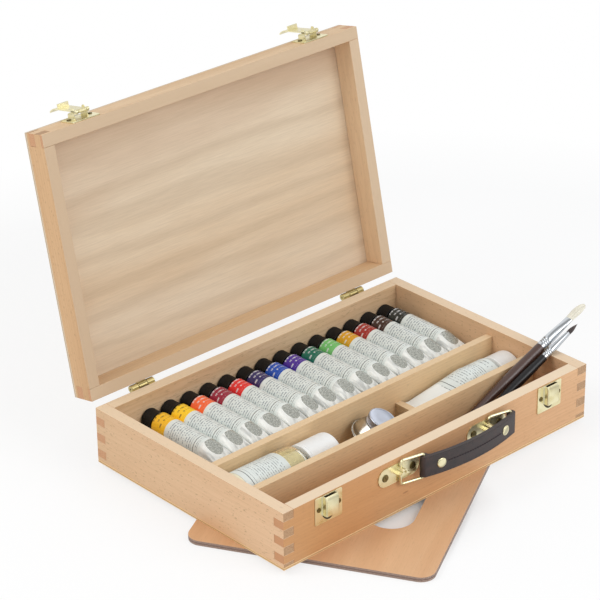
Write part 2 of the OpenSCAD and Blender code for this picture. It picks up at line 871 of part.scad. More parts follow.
module bottle_oil() {
    color("gold") bottle_place()
        translate([0, 0, bottle_wall + 0.1])
            cylinder(r = bottle_r - bottle_wall - 0.1, h = bottle_body_len - 2 * bottle_wall);
}

module bottle_cap() {
    color("white") bottle_place()
        translate([0, 0, bottle_body_len + bottle_shoulder + 1]) difference() {
            cylinder(d = bottle_cap_d, h = bottle_cap_len);
            translate([0, 0, -1])
                cylinder(r = bottle_neck_r + 2 * pin_fit, h = bottle_neck_len + 0.5);
        }
}

module dipper_place() {
    translate([dipper_x, dipper_y, dipper_z]) rotate([dipper_lean, 0, dipper_turn]) children();
}

// Side view of the spring clip under the foot, its jaw open towards the front
module clip_section() {
    polygon([[clip_web_y, 0.5], [clip_web_y, -clip_web_h], [-jaw_y, clip_t - jaw_drop],
        [-jaw_y, -jaw_drop], [clip_web_y + clip_t, -clip_web_h - clip_t],
        [clip_web_y + clip_t, 0.5]]);
}

module dipper_cup() {
    top = dipper_h + dipper_lid_h - 2;
    color("silver") dipper_place() {
        rotate_extrude() difference() {
            polygon([[0, 0], [dipper_foot_r, 0], [dipper_foot_r, dipper_wall],
                [dipper_foot_r - 2, 2 * dipper_wall], [dipper_lid_r - 0.5, dipper_h - 0.5],
                [dipper_neck_r, dipper_h - 0.5], [dipper_neck_r, top], [0, top]]);
            translate([0, dipper_wall]) square([dipper_neck_r - dipper_wall, top]);
        }
        translate([-clip_w / 2, 0, 0]) rotate([90, 0, 90]) linear_extrude(clip_w)
            clip_section();
    }
}

module dipper_lid() {
    color("lightgray") dipper_place() translate([0, 0, dipper_h]) difference() {
        cylinder(r = dipper_lid_r, h = dipper_lid_h);
        translate([0, 0, -1]) cylinder(r = dipper_neck_r + 2 * pin_fit, h = dipper_lid_h - 0.5);
    }
}

// Where the end of a brush stands on the floor, when radius rest_r lies on the right wall's rim
function brush_x(rest_r) = x_in - (rest_r + rest_gap + brush_rise) / sin(brush_lean);

// A brush along +Z, its handle's end at z = 0
module brush_place(y, rest_r) {
    translate([brush_x(rest_r), y, brush_z]) rotate([0, 90 - brush_lean, 0]) children();
}

module brush_handle(len, thick_r, neck_r) {
    sphere(handle_end_r);
    rotate_extrude()
        polygon([[0, 0], [handle_end_r, 0], [thick_r * 0.8, len * 0.45],
            [thick_r, len * 0.75], [thick_r * 0.95, len * 0.86], [neck_r, len * 0.98],
            [neck_r, len], [0, len]]);
}

module flat_brush_handle() {
    color("saddlebrown") brush_place(flat_y, flat_neck_r)
        brush_handle(flat_handle_len, flat_handle_r, flat_neck_r);
}

module flat_brush_ferrule() {
    color("silver") brush_place(flat_y, flat_neck_r) translate([0, 0, flat_handle_len])
        cylinder(r1 = flat_neck_r, r2 = flat_mouth_r, h = flat_ferrule_len);
}

module flat_brush_bristles() {
    straight = flat_bristle_len - bristle_w / 2;
    color("ivory") brush_place(flat_y, flat_neck_r)
        translate([0, 0, flat_handle_len + flat_ferrule_len]) rotate([90, 0, 90])
            translate([0, 0, -bristle_t / 2]) linear_extrude(bristle_t) {
                translate([-flat_mouth_r, 0]) square([2 * flat_mouth_r, straight]);
                translate([-bristle_w / 2, straight / 3]) square([bristle_w, straight * 2 / 3]);
                translate([0, straight]) circle(d = bristle_w);
            }
}

module round_brush_handle() {
    color("black") brush_place(round_y, round_rest_r)
        brush_handle(round_handle_len, round_handle_r, round_neck_r);
}

module round_brush_ferrule() {
    color("silver") brush_place(round_y, round_rest_r) translate([0, 0, round_handle_len])
        cylinder(r1 = round_neck_r - 0.1, r2 = round_bristle_r, h = round_ferrule_len);
}

module round_brush_bristles() {
    color("black") brush_place(round_y, round_rest_r)
        translate([0, 0, round_handle_len + round_ferrule_len]) {
            cylinder(r = round_bristle_r, h = round_bristle_len / 3);
            translate([0, 0, round_bristle_len / 3])
                cylinder(r1 = round_bristle_r, r2 = 0.3, h = round_bristle_len * 2 / 3);
        }
}

module palette() {
    color("sandybrown") translate([palette_x, palette_y, 0]) rotate([0, 0, palette_turn])
        linear_extrude(palette_t - rest_gap) difference() {
            round_rect(palette_l, palette_w, palette_r);
            translate([thumb_x, thumb_y]) round_rect(thumb_l, thumb_w, thumb_w / 2 - 0.01);
        }
}

base_side(-1);  // base_left_wall
base_side(1);  // base_right_wall
base_front_wall();
base_back_wall();
base_floor();
divider(rear_div_y);  // rear_divider
divider(front_div_y);  // front_divider
cross_partition();
tube_tray();
catch_keepers();
base_screws();
handle_plate(-1);  // handle_plate_left
handle_plate(1);  // handle_plate_right
base_hinge_leaves();
hinge_pins();
lid_side(-1);  // lid_left_rail
lid_side(1);  // lid_right_rail
lid_front_rail();
lid_back_rail();
lid_panel();
lid_hinge_leaves();
latch_plates();
latch_pins();
lid_screws();
hasp(-1);  // hasp_left
hasp(1);  // hasp_right
handle_ring(-1);  // handle_ring_left
handle_ring(1);  // handle_ring_right
handle_strap();
strap_rivets();
paint_tube(0);  // paint_tube_01
paint_tube(1);  // paint_tube_02
paint_tube(2);  // paint_tube_03
paint_tube(3);  // paint_tube_04
paint_tube(4);  // paint_tube_05
paint_tube(5);  // paint_tube_06
paint_tube(6);  // paint_tube_07
paint_tube(7);  // paint_tube_08
paint_tube(8);  // paint_tube_09
paint_tube(9);  // paint_tube_10
paint_tube(10);  // paint_tube_11
paint_tube(11);  // paint_tube_12
paint_tube(12);  // paint_tube_13
paint_tube(13);  // paint_tube_14
bottle_glass();
bottle_oil();
bottle_cap();
white_tube();
white_tube_cap();
dipper_cup();
dipper_lid();
flat_brush_handle();
flat_brush_ferrule();
flat_brush_bristles();
round_brush_handle();
round_brush_ferrule();
round_brush_bristles();
palette();
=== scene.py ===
import math
import random

import bmesh
import bpy
from mathutils import Matrix, Vector
from mathutils.geometry import tessellate_polygon


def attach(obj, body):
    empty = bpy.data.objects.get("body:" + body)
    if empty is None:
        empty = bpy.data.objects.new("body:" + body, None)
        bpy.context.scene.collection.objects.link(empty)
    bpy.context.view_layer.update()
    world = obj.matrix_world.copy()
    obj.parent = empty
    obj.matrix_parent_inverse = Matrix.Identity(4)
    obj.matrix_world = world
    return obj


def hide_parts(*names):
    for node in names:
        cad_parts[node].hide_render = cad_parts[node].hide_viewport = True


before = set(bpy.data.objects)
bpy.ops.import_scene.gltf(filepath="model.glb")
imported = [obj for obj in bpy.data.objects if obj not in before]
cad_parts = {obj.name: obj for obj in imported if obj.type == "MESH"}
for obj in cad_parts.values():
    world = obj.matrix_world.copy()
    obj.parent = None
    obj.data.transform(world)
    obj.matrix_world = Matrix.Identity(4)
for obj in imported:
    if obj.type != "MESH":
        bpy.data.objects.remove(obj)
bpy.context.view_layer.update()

# ---- sizes, in millimetres
MM = 0.001
SIDES = (-1, 1)
X_IN, X_OUT, Y_OUT = 187.5, 200.0, 131.5
WALL, PANEL = 12.5, 3.0
BASE, FLOOR, RIM = 5.0, 8.0, 64.5
LID_RIM, LID_TOP, LID_OPEN = 64.8, 88.8, 102
FINGER, LID_FINGER = 8.8, 3.3
HINGE_Y, HINGE_Z = 135.5, 64.65
LATCH_X, HINGE_X, HANDLE_X = 146.0, 140.0, 58.0
REAR_DIV_Y, FRONT_DIV_Y, DIVIDER, DIVIDER_TOP = -18.0, -74.5, 8.0, 56
MID_Y = -42.25
EDGE = 0.45
PALETTE_X, PALETTE_Y, PALETTE_TURN = -12, -39.7, 29.5


def turn(degrees, axis):
    return Matrix.Rotation(math.radians(degrees), 4, axis)


def move(x, y, z):
    return Matrix.Translation((x * MM, y * MM, z * MM))


HERE = Matrix.Identity(4)
MIRROR_Y = Matrix.Scale(-1, 4, (0, 1, 0))
LID_PLACE = move(0, HINGE_Y, HINGE_Z) @ turn(-LID_OPEN, "X") @ move(0, -HINGE_Y, -HINGE_Z)


# ---- materials
def rgb(r, g, b):
    """A colour given as 0 to 255, in the linear values that a shader wants."""
    return tuple(((c / 255 + 0.055) / 1.055) ** 2.4 if c > 10 else c / 3294.6
                 for c in (r, g, b)) + (1.0,)


def put(tree, node, socket, value):
    """Links a socket to another node's output, or gives it a plain value."""
    if isinstance(value, bpy.types.NodeSocket):
        tree.links.new(value, node.inputs[socket])
    else:
        node.inputs[socket].default_value = value


def add_node(tree, kind, sockets, output=0, **options):
    """A new node with its options and sockets set. Gives back one of its outputs."""
    node = tree.nodes.new(kind)
    for key, value in options.items():
        setattr(node, key, value)
    for socket, value in sockets.items():
        if value is not None:
            put(tree, node, socket, value)
    return node.outputs[output] if node.outputs else node


class Shade:
    """A Principled material and short names for the nodes that feed it."""

    def __init__(self, name, colour=None, rough=0.5, metal=0.0, **sockets):
        self.mat = bpy.data.materials.new(name)
        self.mat.use_nodes = True
        self.tree = self.mat.node_tree
        self.bsdf = self.tree.nodes["Principled BSDF"]
        self.set("Roughness", rough)
        self.set("Metallic", metal)
        if colour is not None:
            self.set("Base Color", colour)
        for socket, value in sockets.items():
            self.set(socket.replace("_", " "), value)
        coords = self.tree.nodes.new("ShaderNodeTexCoord")
        self.object = coords.outputs["Object"]
        self.normal = coords.outputs["Normal"]

    def set(self, socket, value):
        put(self.tree, self.bsdf, socket, value)

    def add(self, kind, sockets, output=0, **options):
        return add_node(self.tree, kind, sockets, output, **options)

    def scaled(self, scale, shift=(0, 0, 0), vector=None):
        return self.add("ShaderNodeMapping", {
            "Vector": vector or self.object, "Scale": scale, "Location": shift})

    def noise(self, vector, scale=1.0, detail=2.0, rough=0.5, bend=0.0):
        return self.add("ShaderNodeTexNoise", {
            "Vector": vector, "Scale": scale, "Detail": detail, "Roughness": rough,
            "Distortion": bend})

    def vector_math(self, operation, a, b, output=0):
        return self.add("ShaderNodeVectorMath", {0: a, 1: b}, output, operation=operation)

    def math(self, operation, a, b=None, c=None):
        return self.add("ShaderNodeMath", {0: a, 1: b, 2: c}, operation=operation)

    def times(self, *values):
        product = values[0]
        for value in values[1:]:
            product = self.math("MULTIPLY", product, value)
        return product

    def span(self, value, low, high, to_low=0.0, to_high=1.0):
        return self.add("ShaderNodeMapRange", {
            "Value": value, "From Min": low, "From Max": high, "To Min": to_low,
            "To Max": to_high})

    def ramp(self, value, stops, sharp=False):
        node = self.tree.nodes.new("ShaderNodeValToRGB")
        node.color_ramp.interpolation = "CONSTANT" if sharp else "LINEAR"
        while len(node.color_ramp.elements) < len(stops):
            node.color_ramp.elements.new(0.5)
        for element, (place, colour) in zip(node.color_ramp.elements, stops):
            element.position = place
            element.color = colour
        put(self.tree, node, "Fac", value)
        return node.outputs["Color"]

    def mix(self, factor, a, b, mode="MIX"):
        return self.add("ShaderNodeMix", {0: factor, 6: a, 7: b}, 2, data_type="RGBA",
                        blend_type=mode)

    def painted_reflection(self, colour, low):
        """Painted reflection: broad darker and brighter bands multiplied into the colour, which
        follow the way a polished surface faces. A face that looks forward is painted bright, and
        one that looks down is painted dark."""
        facing = self.vector_math("DOT_PRODUCT", self.normal, (6.6, -5.4, 10.2), "Value")
        wave = self.math("SINE", self.math("ADD", facing, 2.45))
        band = self.span(wave, -1.0, 0.6, low, 1.0)
        grey = self.add("ShaderNodeCombineXYZ", {0: band, 1: band, 2: band})
        return self.mix(1.0, colour, grey, "MULTIPLY")

    def parts(self, vector):
        node = self.tree.nodes.new("ShaderNodeSeparateXYZ")
        put(self.tree, node, 0, vector)
        return node.outputs

    def bump(self, height, strength, depth_mm, normal=None):
        return self.add("ShaderNodeBump", {
            "Height": height, "Strength": strength, "Distance": depth_mm * MM,
            "Normal": normal})


def looked_at(tree):
    """Rays from the camera, and those that metal and glass send on: 1, and for others 0."""
    rays = [add_node(tree, "ShaderNodeLightPath", {}, f"Is {kind} Ray")
            for kind in ("Camera", "Glossy", "Transmission")]
    either = add_node(tree, "ShaderNodeMath", {0: rays[0], 1: rays[1]}, operation="MAXIMUM")
    return add_node(tree, "ShaderNodeMath", {0: either, 1: rays[2]}, operation="MAXIMUM")


# Painted light: the paler colour given to faces of the boards that look up or down
RIM_LIGHT = rgb(240, 224, 198)
WOOD_ROUGH = 0.52


def darker(colour, share):
    return tuple(c * share for c in colour[:3]) + (1,)


def blend(a, b, share):
    return tuple((1 - share) * x + share * y for x, y in zip(a, b))


def wood(name, light, dark, grain=0, seed=0.0, figure=0.35, fleck=0.5, end=None, plies=False,
         centre=(0.05, 0.07, 0.06), ring=95.0, soft=False, pale=0.5, tone_and_light_drift=None, knot=None,
         edge=None, rim_light=RIM_LIGHT, streaks=0.15, ticks=(150.0, 950.0, 0.63)):
    """Wood with its grain along one axis: broad tone, growth rings, fibres and flecks."""
    m = Shade(name, rough=WOOD_ROUGH)

    def stretched(along, across, shift=0.0):
        scale = [across] * 3
        scale[grain] = along
        return m.scaled(scale, (seed + shift, seed * 1.7 + shift, seed * 0.6))

    tone = m.noise(stretched(2.2, 17.0), 1.0, 3.0, 0.55, 0.4)
    base = m.ramp(tone, [(0.30, dark), (0.52, light), (0.75, blend(light, dark, 0.5))])
    if tone_and_light_drift:
        # The board's colour drifts from one end, or for a panel from one edge, to the other. On
        # the front board this drift is painted light and shade.
        axis = 1 if len(tone_and_light_drift) > 2 else grain
        uneven = m.math("MULTIPLY_ADD", m.noise(stretched(3.0, 14.0, 5.0), 1.0, 3.0, 0.6),
                        0.16, -0.08)
        where = m.span(m.math("ADD", m.parts(m.object)[axis], uneven), -0.12, 0.20)
        stops = [(i / (len(tone_and_light_drift) - 1), colour) for i, colour in enumerate(tone_and_light_drift)]
        base = m.mix(0.55, base, m.ramp(where, stops))
    scale = [1.0] * 3
    scale[grain] = 0.13
    rings = m.add("ShaderNodeTexWave", {
        "Vector": m.scaled(scale, (centre[0] + seed * 0.013, centre[1], centre[2])),
        "Scale": ring, "Distortion": 5.5, "Detail": 2.5, "Detail Scale": 1.4,
        "Detail Roughness": 0.55}, 1, wave_type="RINGS", rings_direction="XYZ"[grain],
        wave_profile="SIN" if soft else "SAW")
    shadow = darker(dark, 0.62)
    lines = m.times(m.span(rings, 0.45, 1.0), figure)
    base = m.mix(lines, base, blend(dark, shadow, 0.4))
    fibre = m.noise(stretched(38.0, 1150.0, 3.0), 1.0, 2.0, 0.6)
    base = m.mix(m.span(fibre, 0.35, 0.8, 0.0, streaks), base, shadow)
    flecks = m.noise(stretched(ticks[0], ticks[1], 9.0), 1.0, 1.0, 0.4)
    marks = m.times(m.span(flecks, ticks[2], ticks[2] + 0.08), fleck)
    base = m.mix(marks, base, shadow)
    # Across the grain the cut ends are darker and full of pores
    face = m.parts(m.normal)
    cut = m.span(m.math("ABSOLUTE", face[grain]), 0.6, 0.85)
    pores = m.noise(m.object, 1500.0, 2.0, 0.6)
    end = end or shadow
    ends = m.ramp(pores, [(0.35, end), (0.62, blend(end, light, 0.45))])
    if plies:
        # The middle ply shows as a darker stripe along every edge
        face_up = m.span(m.math("ABSOLUTE", face[2]), 0.5, 0.8)
        middle = m.math("COMPARE", m.parts(m.object)[2], plies * MM, 0.55 * MM)
        stripe = m.mix(middle, light, ends)
        if edge:
            stripe = m.mix(middle, m.ramp(pores, [(0.4, edge[1]), (0.6, edge[0])]), edge[1])
        base = m.mix(face_up, stripe, base)
    else:
        # Painted light: faces that look up or down, such as the rims, are painted paler than the
        # sides
        rim = m.span(m.math("ABSOLUTE", face[2]), 0.6, 0.85, 0.0, pale)
        base = m.mix(rim, base, rim_light)
        if knot:
            # One short dark streak
            x, y, z, long, high = knot
            spot = m.vector_math("ADD", m.object, (-x * MM, -y * MM, -z * MM))
            flat = m.parts(m.scaled((1 / long, 1.0, 1 / high), vector=spot))
            away = [m.math("POWER", m.math("ABSOLUTE", flat[i]), 2.0) for i in (0, 2)]
            base = m.mix(m.span(m.math("ADD", *away), 0.3, 1.0, 0.75, 0.0), base, shadow)
        base = m.mix(cut, base, ends)
    m.set("Base Color", base)
    m.set("Roughness", m.span(fibre, 0.3, 0.8, WOOD_ROUGH - 0.07, WOOD_ROUGH + 0.12))
    grainy = m.bump(fibre, 0.22, 0.10)
    m.set("Normal", m.bump(flecks, 0.15, 0.08, grainy))
    m.set("Specular IOR Level", 0.32)
    return m.mat


BEECH_L, BEECH_D = rgb(226, 194, 156), rgb(206, 168, 124)
FRONT_L, FRONT_D = rgb(216, 170, 124), rgb(192, 140, 92)
END, DARK_END = rgb(190, 132, 92), rgb(158, 118, 84)
KNOT = (-48.0, 0, 23.0, 0.0045, 0.0010)
BIG_TICKS = (260.0, 760.0, 0.65)
# The lid's boards get a dimmer painted light on their rims
LID = {"rim_light": rgb(203, 178, 149), "figure": 0.2}
SIDE_WOOD = wood(
    "beech_sides", BEECH_L, BEECH_D, grain=1, seed=1.3, end=DARK_END, figure=0.15, fleck=0.6,
    tone_and_light_drift=(rgb(230, 186, 148), rgb(206, 168, 128)), ticks=BIG_TICKS)
# The front board's drift, dark at its left end and light at its right, is painted light and shade
LONG_WOOD = wood(
    "beech_front", FRONT_L, FRONT_D, seed=4.1, end=END, figure=0.18, fleck=0.22, pale=0.75,
    knot=KNOT, tone_and_light_drift=(rgb(190, 132, 78), rgb(232, 190, 150)), ticks=(220.0, 900.0, 0.64))
BACK_WOOD = wood("beech_back", BEECH_L, BEECH_D, seed=2.6, end=END)
# The lid's side rails are one beech in two copies: painted light makes the right one lighter, and
# painted shade makes the left one darker
LID_RIGHT_LIT_WOOD = wood(
    "beech_lid_right_lit", rgb(238, 208, 172), rgb(222, 186, 146), grain=1, seed=7.7, end=END,
    pale=0.8, fleck=0.25, **LID)
LID_LEFT_SHADED_WOOD = wood(
    "beech_lid_left_shaded", rgb(214, 174, 130), rgb(190, 146, 102), grain=1, seed=6.2, end=DARK_END,
    pale=0.85, fleck=0.5, ticks=BIG_TICKS, **LID)
LID_LONG_WOOD = wood(
    "beech_lid_long", BEECH_L, BEECH_D, seed=9.2, end=END, pale=0.8, fleck=0.25, **LID)
FLOOR_PLY = wood(
    "ply_floor", rgb(234, 196, 146), rgb(212, 168, 116), seed=11.0, figure=0.5,
    plies=BASE + PANEL / 2, ring=60.0)
LID_PLY = wood(
    "ply_lid", rgb(224, 205, 179), rgb(205, 178, 147), seed=5.5, figure=0.34, fleck=0.05,
    plies=LID_TOP + PANEL / 2, ring=13.0, centre=(0.05, 0.16, 0.03), soft=True, streaks=0.26,
    tone_and_light_drift=(rgb(192, 158, 130), rgb(226, 206, 178), rgb(216, 184, 146), rgb(228, 210, 186),
           rgb(216, 188, 150)))
DIVIDER_WOOD = wood(
    "divider_wood", rgb(230, 200, 158), rgb(208, 174, 130), seed=14.2, figure=0.25, fleck=0.3,
    rim_light=rgb(226, 200, 166))
PALETTE_WOOD = wood(
    "palette_wood", rgb(230, 196, 156), rgb(212, 168, 126), seed=17.0, figure=0.12, fleck=0.2,
    plies=2.5, ring=16.0, soft=True, tone_and_light_drift=(rgb(214, 160, 116), rgb(234, 202, 168)),
    edge=(rgb(176, 152, 138), rgb(120, 98, 88)))


def brass(name, worn=0.3, satin=0.33):
    m = Shade(name, rough=satin, metal=0.88)
    patches = m.noise(m.object, 70.0, 2.0, 0.5)
    colour = m.ramp(patches, [(0.30, rgb(222, 210, 160)), (0.55, rgb(240, 232, 192)),
                              (0.80, rgb(230, 222, 178))])
    # Painted reflection: bands darken and brighten the brass by the way each face looks
    m.set("Base Color", m.painted_reflection(colour, 0.62))
    scratch = m.noise(m.scaled((300, 2600, 2600)), 1.0, 3.0, 0.7)
    m.set("Roughness", m.span(m.mix(0.5, patches, scratch), 0.3, 0.75, satin - 0.10,
                              satin + 0.22 * worn))
    m.set("Normal", m.bump(scratch, 0.10, 0.05))
    return m.mat


BRASS = brass("brass")
BRASS_WIRE = brass("brass_wire", worn=0.2, satin=0.24)


m = Shade("strap_leather", rough=0.45)
skin = m.add("ShaderNodeTexVoronoi", {"Vector": m.object, "Scale": 900.0})
fold = m.noise(m.object, 160.0, 4.0, 0.6)
pores = m.noise(m.object, 2400.0, 2.0, 0.5)
m.set("Base Color", m.ramp(fold, [(0.3, rgb(34, 26, 26)), (0.6, rgb(54, 42, 41)),
                                  (0.85, rgb(76, 60, 56))]))
m.set("Roughness", m.span(fold, 0.3, 0.8, 0.36, 0.62))
m.set("Normal", m.bump(pores, 0.2, 0.1, m.bump(skin, 0.35, 0.25)))
LEATHER = m.mat


def plain(name, colour, rough, grain_scale=1800.0, vary=0.06, metal=0.0, **more):
    """Moulded plastic, paint, lacquer or metal: a nearly even colour with a fine surface, and for
    metal painted reflection bands on top.
    """
    m = Shade(name, rough=rough, metal=metal, **more)
    cloud = m.noise(m.object, 120.0, 3.0, 0.5)
    base = m.ramp(cloud, [(0.3, darker(colour, 1 - 2 * vary)), (0.7, colour)])
    # Metals get painted reflection bands over their colour
    m.set("Base Color", m.painted_reflection(base, 0.4) if metal > 0.5 else base)
    fine = m.noise(m.object, grain_scale, 2.0, 0.5)
    m.set("Roughness", m.span(fine, 0.3, 0.7, max(rough - 0.05, 0.02), rough + 0.07))
    m.set("Normal", m.bump(fine, 0.15, 0.03))
    return m.mat


BLACK_CAP = plain("black_cap", rgb(13, 13, 14), 0.42, Specular_IOR_Level=0.22)
WHITE_CAP = plain("white_cap", rgb(236, 236, 234), 0.32, vary=0.02)
SCREW_BRASS = plain("screw_brass", rgb(128, 114, 74), 0.34, 900.0, metal=1.0)
STITCH = plain("stitch_thread", rgb(44, 36, 40), 0.8, 5000.0)
DARK_HANDLE = plain("black_lacquer", rgb(14, 13, 16), 0.30, 300.0, Coat_Weight=0.1,
                    Specular_IOR_Level=0.3)
BROWN_HANDLE = plain("brown_lacquer", rgb(72, 48, 40), 0.34, 300.0, Coat_Weight=0.15)
STEEL = plain("polished_steel", rgb(208, 202, 192), 0.18, 500.0, metal=1.0)
LID_STEEL = plain("dipper_lid_steel", rgb(216, 222, 236), 0.34, 900.0, metal=0.85)
FERRULE = plain("ferrule_metal", rgb(214, 218, 222), 0.24, 700.0, metal=1.0)
HINGE_BRASS = plain("hinge_brass", rgb(202, 184, 128), 0.34, 800.0, metal=1.0)
# Dark colour for sheets put where there is only shade: painted shade
PAINTED_SHADE = plain("painted_shade_dark", rgb(52, 42, 22), 0.7)


# ---- mesh tools
def build(name, parts, body, material, nodes=(), place=HERE, bevel=0.0, steps=2,
          smooth=40.0):
    """One piece made of several (points, faces) parts, in millimetres at place."""
    points, faces = [], []
    for part_points, part_faces in parts:
        start = len(points)
        points.extend(part_points)
        faces.extend([tuple(i + start for i in face) for face in part_faces])
    mesh = bpy.data.meshes.new(name)
    mesh.from_pydata([(x * MM, y * MM, z * MM) for x, y, z in points], [], faces)
    mesh.materials.append(material)
    work = bmesh.new()
    work.from_mesh(mesh)
    bmesh.ops.remove_doubles(work, verts=work.verts, dist=1e-7)
    bmesh.ops.recalc_face_normals(work, faces=work.faces)
    work.to_mesh(mesh)
    work.free()
    mesh.polygons.foreach_set("use_smooth", [True] * len(mesh.polygons))
    mesh.set_sharp_from_angle(angle=math.radians(smooth))
    piece = bpy.data.objects.new(name, mesh)
    bpy.context.scene.collection.objects.link(piece)
    if bevel:
        rounding = piece.modifiers.new("rounding", "BEVEL")
        rounding.width = bevel * MM
        rounding.segments = steps
        rounding.limit_method = "ANGLE"
        rounding.angle_limit = math.radians(smooth)
        rounding.harden_normals = True
    piece.matrix_world = place
    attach(piece, body)
    if nodes:
        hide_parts(*nodes)


def placed(part, matrix):
    """The same part moved by a matrix whose shift is in metres."""
    return [matrix @ (Vector(p) * MM) / MM for p in part[0]], part[1]


def both(parts, x):
    """The same parts at both sides of the box, x away from its middle."""
    return [placed(part, move(side * x, 0, 0)) for side in SIDES for part in parts]


def slab(x0, x1, y0, y1, z0, z1):
    points = [(x, y, z) for z in (z0, z1) for y in (y0, y1) for x in (x0, x1)]
    faces = [(0, 2, 3, 1), (4, 5, 7, 6), (0, 1, 5, 4), (2, 6, 7, 3), (0, 4, 6, 2), (1, 3, 7, 5)]
    return points, faces


def extrude(loops, start, end, axes="xyz"):
    """Closed outlines, the first the outer one, drawn out along the third axis of axes."""
    if not isinstance(loops[0][0], (tuple, list)):
        loops = [loops]
    flat = [p for loop in loops for p in loop]
    count = len(flat)
    order = [axes.index(a) for a in "xyz"]
    points = [tuple((u, v, depth)[i] for i in order) for depth in (start, end) for u, v in flat]
    if len(loops) == 1:
        faces = [tuple(range(count)), tuple(range(count, 2 * count))]
    else:
        caps = tessellate_polygon([[Vector((u, v, 0)) for u, v in loop] for loop in loops])
        faces = [tuple(c) for c in caps] + [tuple(i + count for i in c) for c in caps]
    first = 0
    for loop in loops:
        n = len(loop)
        for i in range(n):
            a, b = first + i, first + (i + 1) % n
            faces.append((a, b, b + count, a + count))
        first += n
    return points, faces


def arc(cx, cy, r, a0, a1, n):
    return [(cx + r * math.cos(math.radians(a0 + (a1 - a0) * i / n)),
             cy + r * math.sin(math.radians(a0 + (a1 - a0) * i / n))) for i in range(n + 1)]


def round_rect(w, h, r, n, cx=0.0, cy=0.0):
    points = []
    for sx, sy, a in ((1, 1, 0), (-1, 1, 90), (-1, -1, 180), (1, -1, 270)):
        points += arc(cx + sx * (w / 2 - r), cy + sy * (h / 2 - r), r, a, a + 90, n)
    return points


def rings_to_mesh(rings, closed=False):
    """Rings of equally many points joined into a skin, with flat ends unless it is closed."""
    n = len(rings[0])
    points = [p for ring in rings for p in ring]
    faces = []
    for k in range(len(rings) - (0 if closed else 1)):
        a, b = k * n, ((k + 1) % len(rings)) * n
        for i in range(n):
            j = (i + 1) % n
            faces.append((a + i, a + j, b + j, b + i))
    if not closed:
        faces.append(tuple(range(n)))
        faces.append(tuple(range((len(rings) - 1) * n, len(rings) * n)))
    return points, faces


def lathe(profile, n=64, wave=0.0, teeth=0):
    """Radius and height pairs turned about the z axis. A third number, 1, flutes the side
    there with that many teeth, as deep as wave."""
    rings = []
    for r, z, *fluted in profile:
        depth = wave if fluted else 0.0
        ring = []
        for i in range(n):
            a = 2 * math.pi * i / n
            rr = r - depth * (0.5 - 0.5 * math.cos(teeth * a))
            ring.append((rr * math.cos(a), rr * math.sin(a), z))
        rings.append(ring)
    return rings_to_mesh(rings)


def spindle(half, bore, rim, radius, bevel, n=24):
    """A pin or barrel along x, its ends bevelled from radius down to rim."""
    side = [(bore, half), (rim, half), (radius, half - bevel)]
    return placed(lathe([(r, -x) for r, x in side] + side[::-1], n), turn(90, "Y"))


def smooth_line(points, n):
    """A Catmull-Rom line through the points."""
    last = len(points) - 1
    line = []
    for i in range(last):
        p = [Vector(points[min(max(i + k - 1, 0), last)]) for k in range(4)]
        for s in range(n):
            t = s / n
            line.append(0.5 * ((2 * p[1]) + (p[2] - p[0]) * t
                               + (2 * p[0] - 5 * p[1] + 4 * p[2] - p[3]) * t * t
                               + (3 * p[1] - p[0] - 3 * p[2] + p[3]) * t ** 3))
    return line + [Vector(points[-1])]


def pipe(line, radius, n, closed=False, up=(0, 0, 1)):
    """A round bar along a line. Radius may be one number or one for each point."""
    line = [Vector(p) for p in line]
    count = len(line)
    rings = []
    for i, p in enumerate(line):
        before = line[(i - 1) % count] if closed else line[max(i - 1, 0)]
        after = line[(i + 1) % count] if closed else line[min(i + 1, count - 1)]
        ahead = (after - before).normalized()
        side = ahead.cross(Vector(up))
        side = side.normalized() if side.length > 1e-6 else ahead.orthogonal().normalized()
        over = side.cross(ahead)
        r = radius[i] if isinstance(radius, (list, tuple)) else radius
        rings.append([tuple(p + side * (r * math.cos(2 * math.pi * k / n))
                            + over * (r * math.sin(2 * math.pi * k / n)))
                      for k in range(n)])
    return rings_to_mesh(rings, closed)


def strip(path, thick):
    """Outline of a sheet of even thickness bent along a path, seen edge on."""
    line = [Vector((u, v)) for u, v in path]
    near, far = [], []
    for i, p in enumerate(line):
        a, b = line[max(i - 1, 0)], line[min(i + 1, len(line) - 1)]
        ahead = (b - a).normalized()
        side = Vector((-ahead.y, ahead.x)) * thick / 2
        if 0 < i < len(line) - 1:
            side /= max((p - a).normalized().dot(ahead), 0.5)
        near.append(tuple(p + side))
        far.append(tuple(p - side))
    return near + far[::-1]


# ---- box: walls with fingers
def wall_outline(half, height, first, start, up):
    """Outline of a wall seen from its side. Slots of every second finger are cut from both
    ends. Depth is measured from the rim, down for the base and up for the lid."""
    levels, z = [0.0], first
    while z < height - 0.01:
        levels.append(z)
        z += FINGER
    levels.append(height)
    right = []
    for i in range(len(levels) - 1):
        edge = half - WALL - 0.02 if (i - start) % 2 == 0 and i >= start else half
        right += [(edge, levels[i]), (edge, levels[i + 1])]
    left = [(-u, v) for u, v in reversed(right)]
    return [(u, LID_RIM + v if up else RIM - v) for u, v in right + left]


def merged(outline):
    """Leaves out points that lie on a straight line between their neighbours."""
    kept = []
    for i, p in enumerate(outline):
        a, b = outline[i - 1], outline[(i + 1) % len(outline)]
        if abs((p[0] - a[0]) * (b[1] - p[1]) - (p[1] - a[1]) * (b[0] - p[0])) > 1e-6:
            kept.append(p)
    return kept


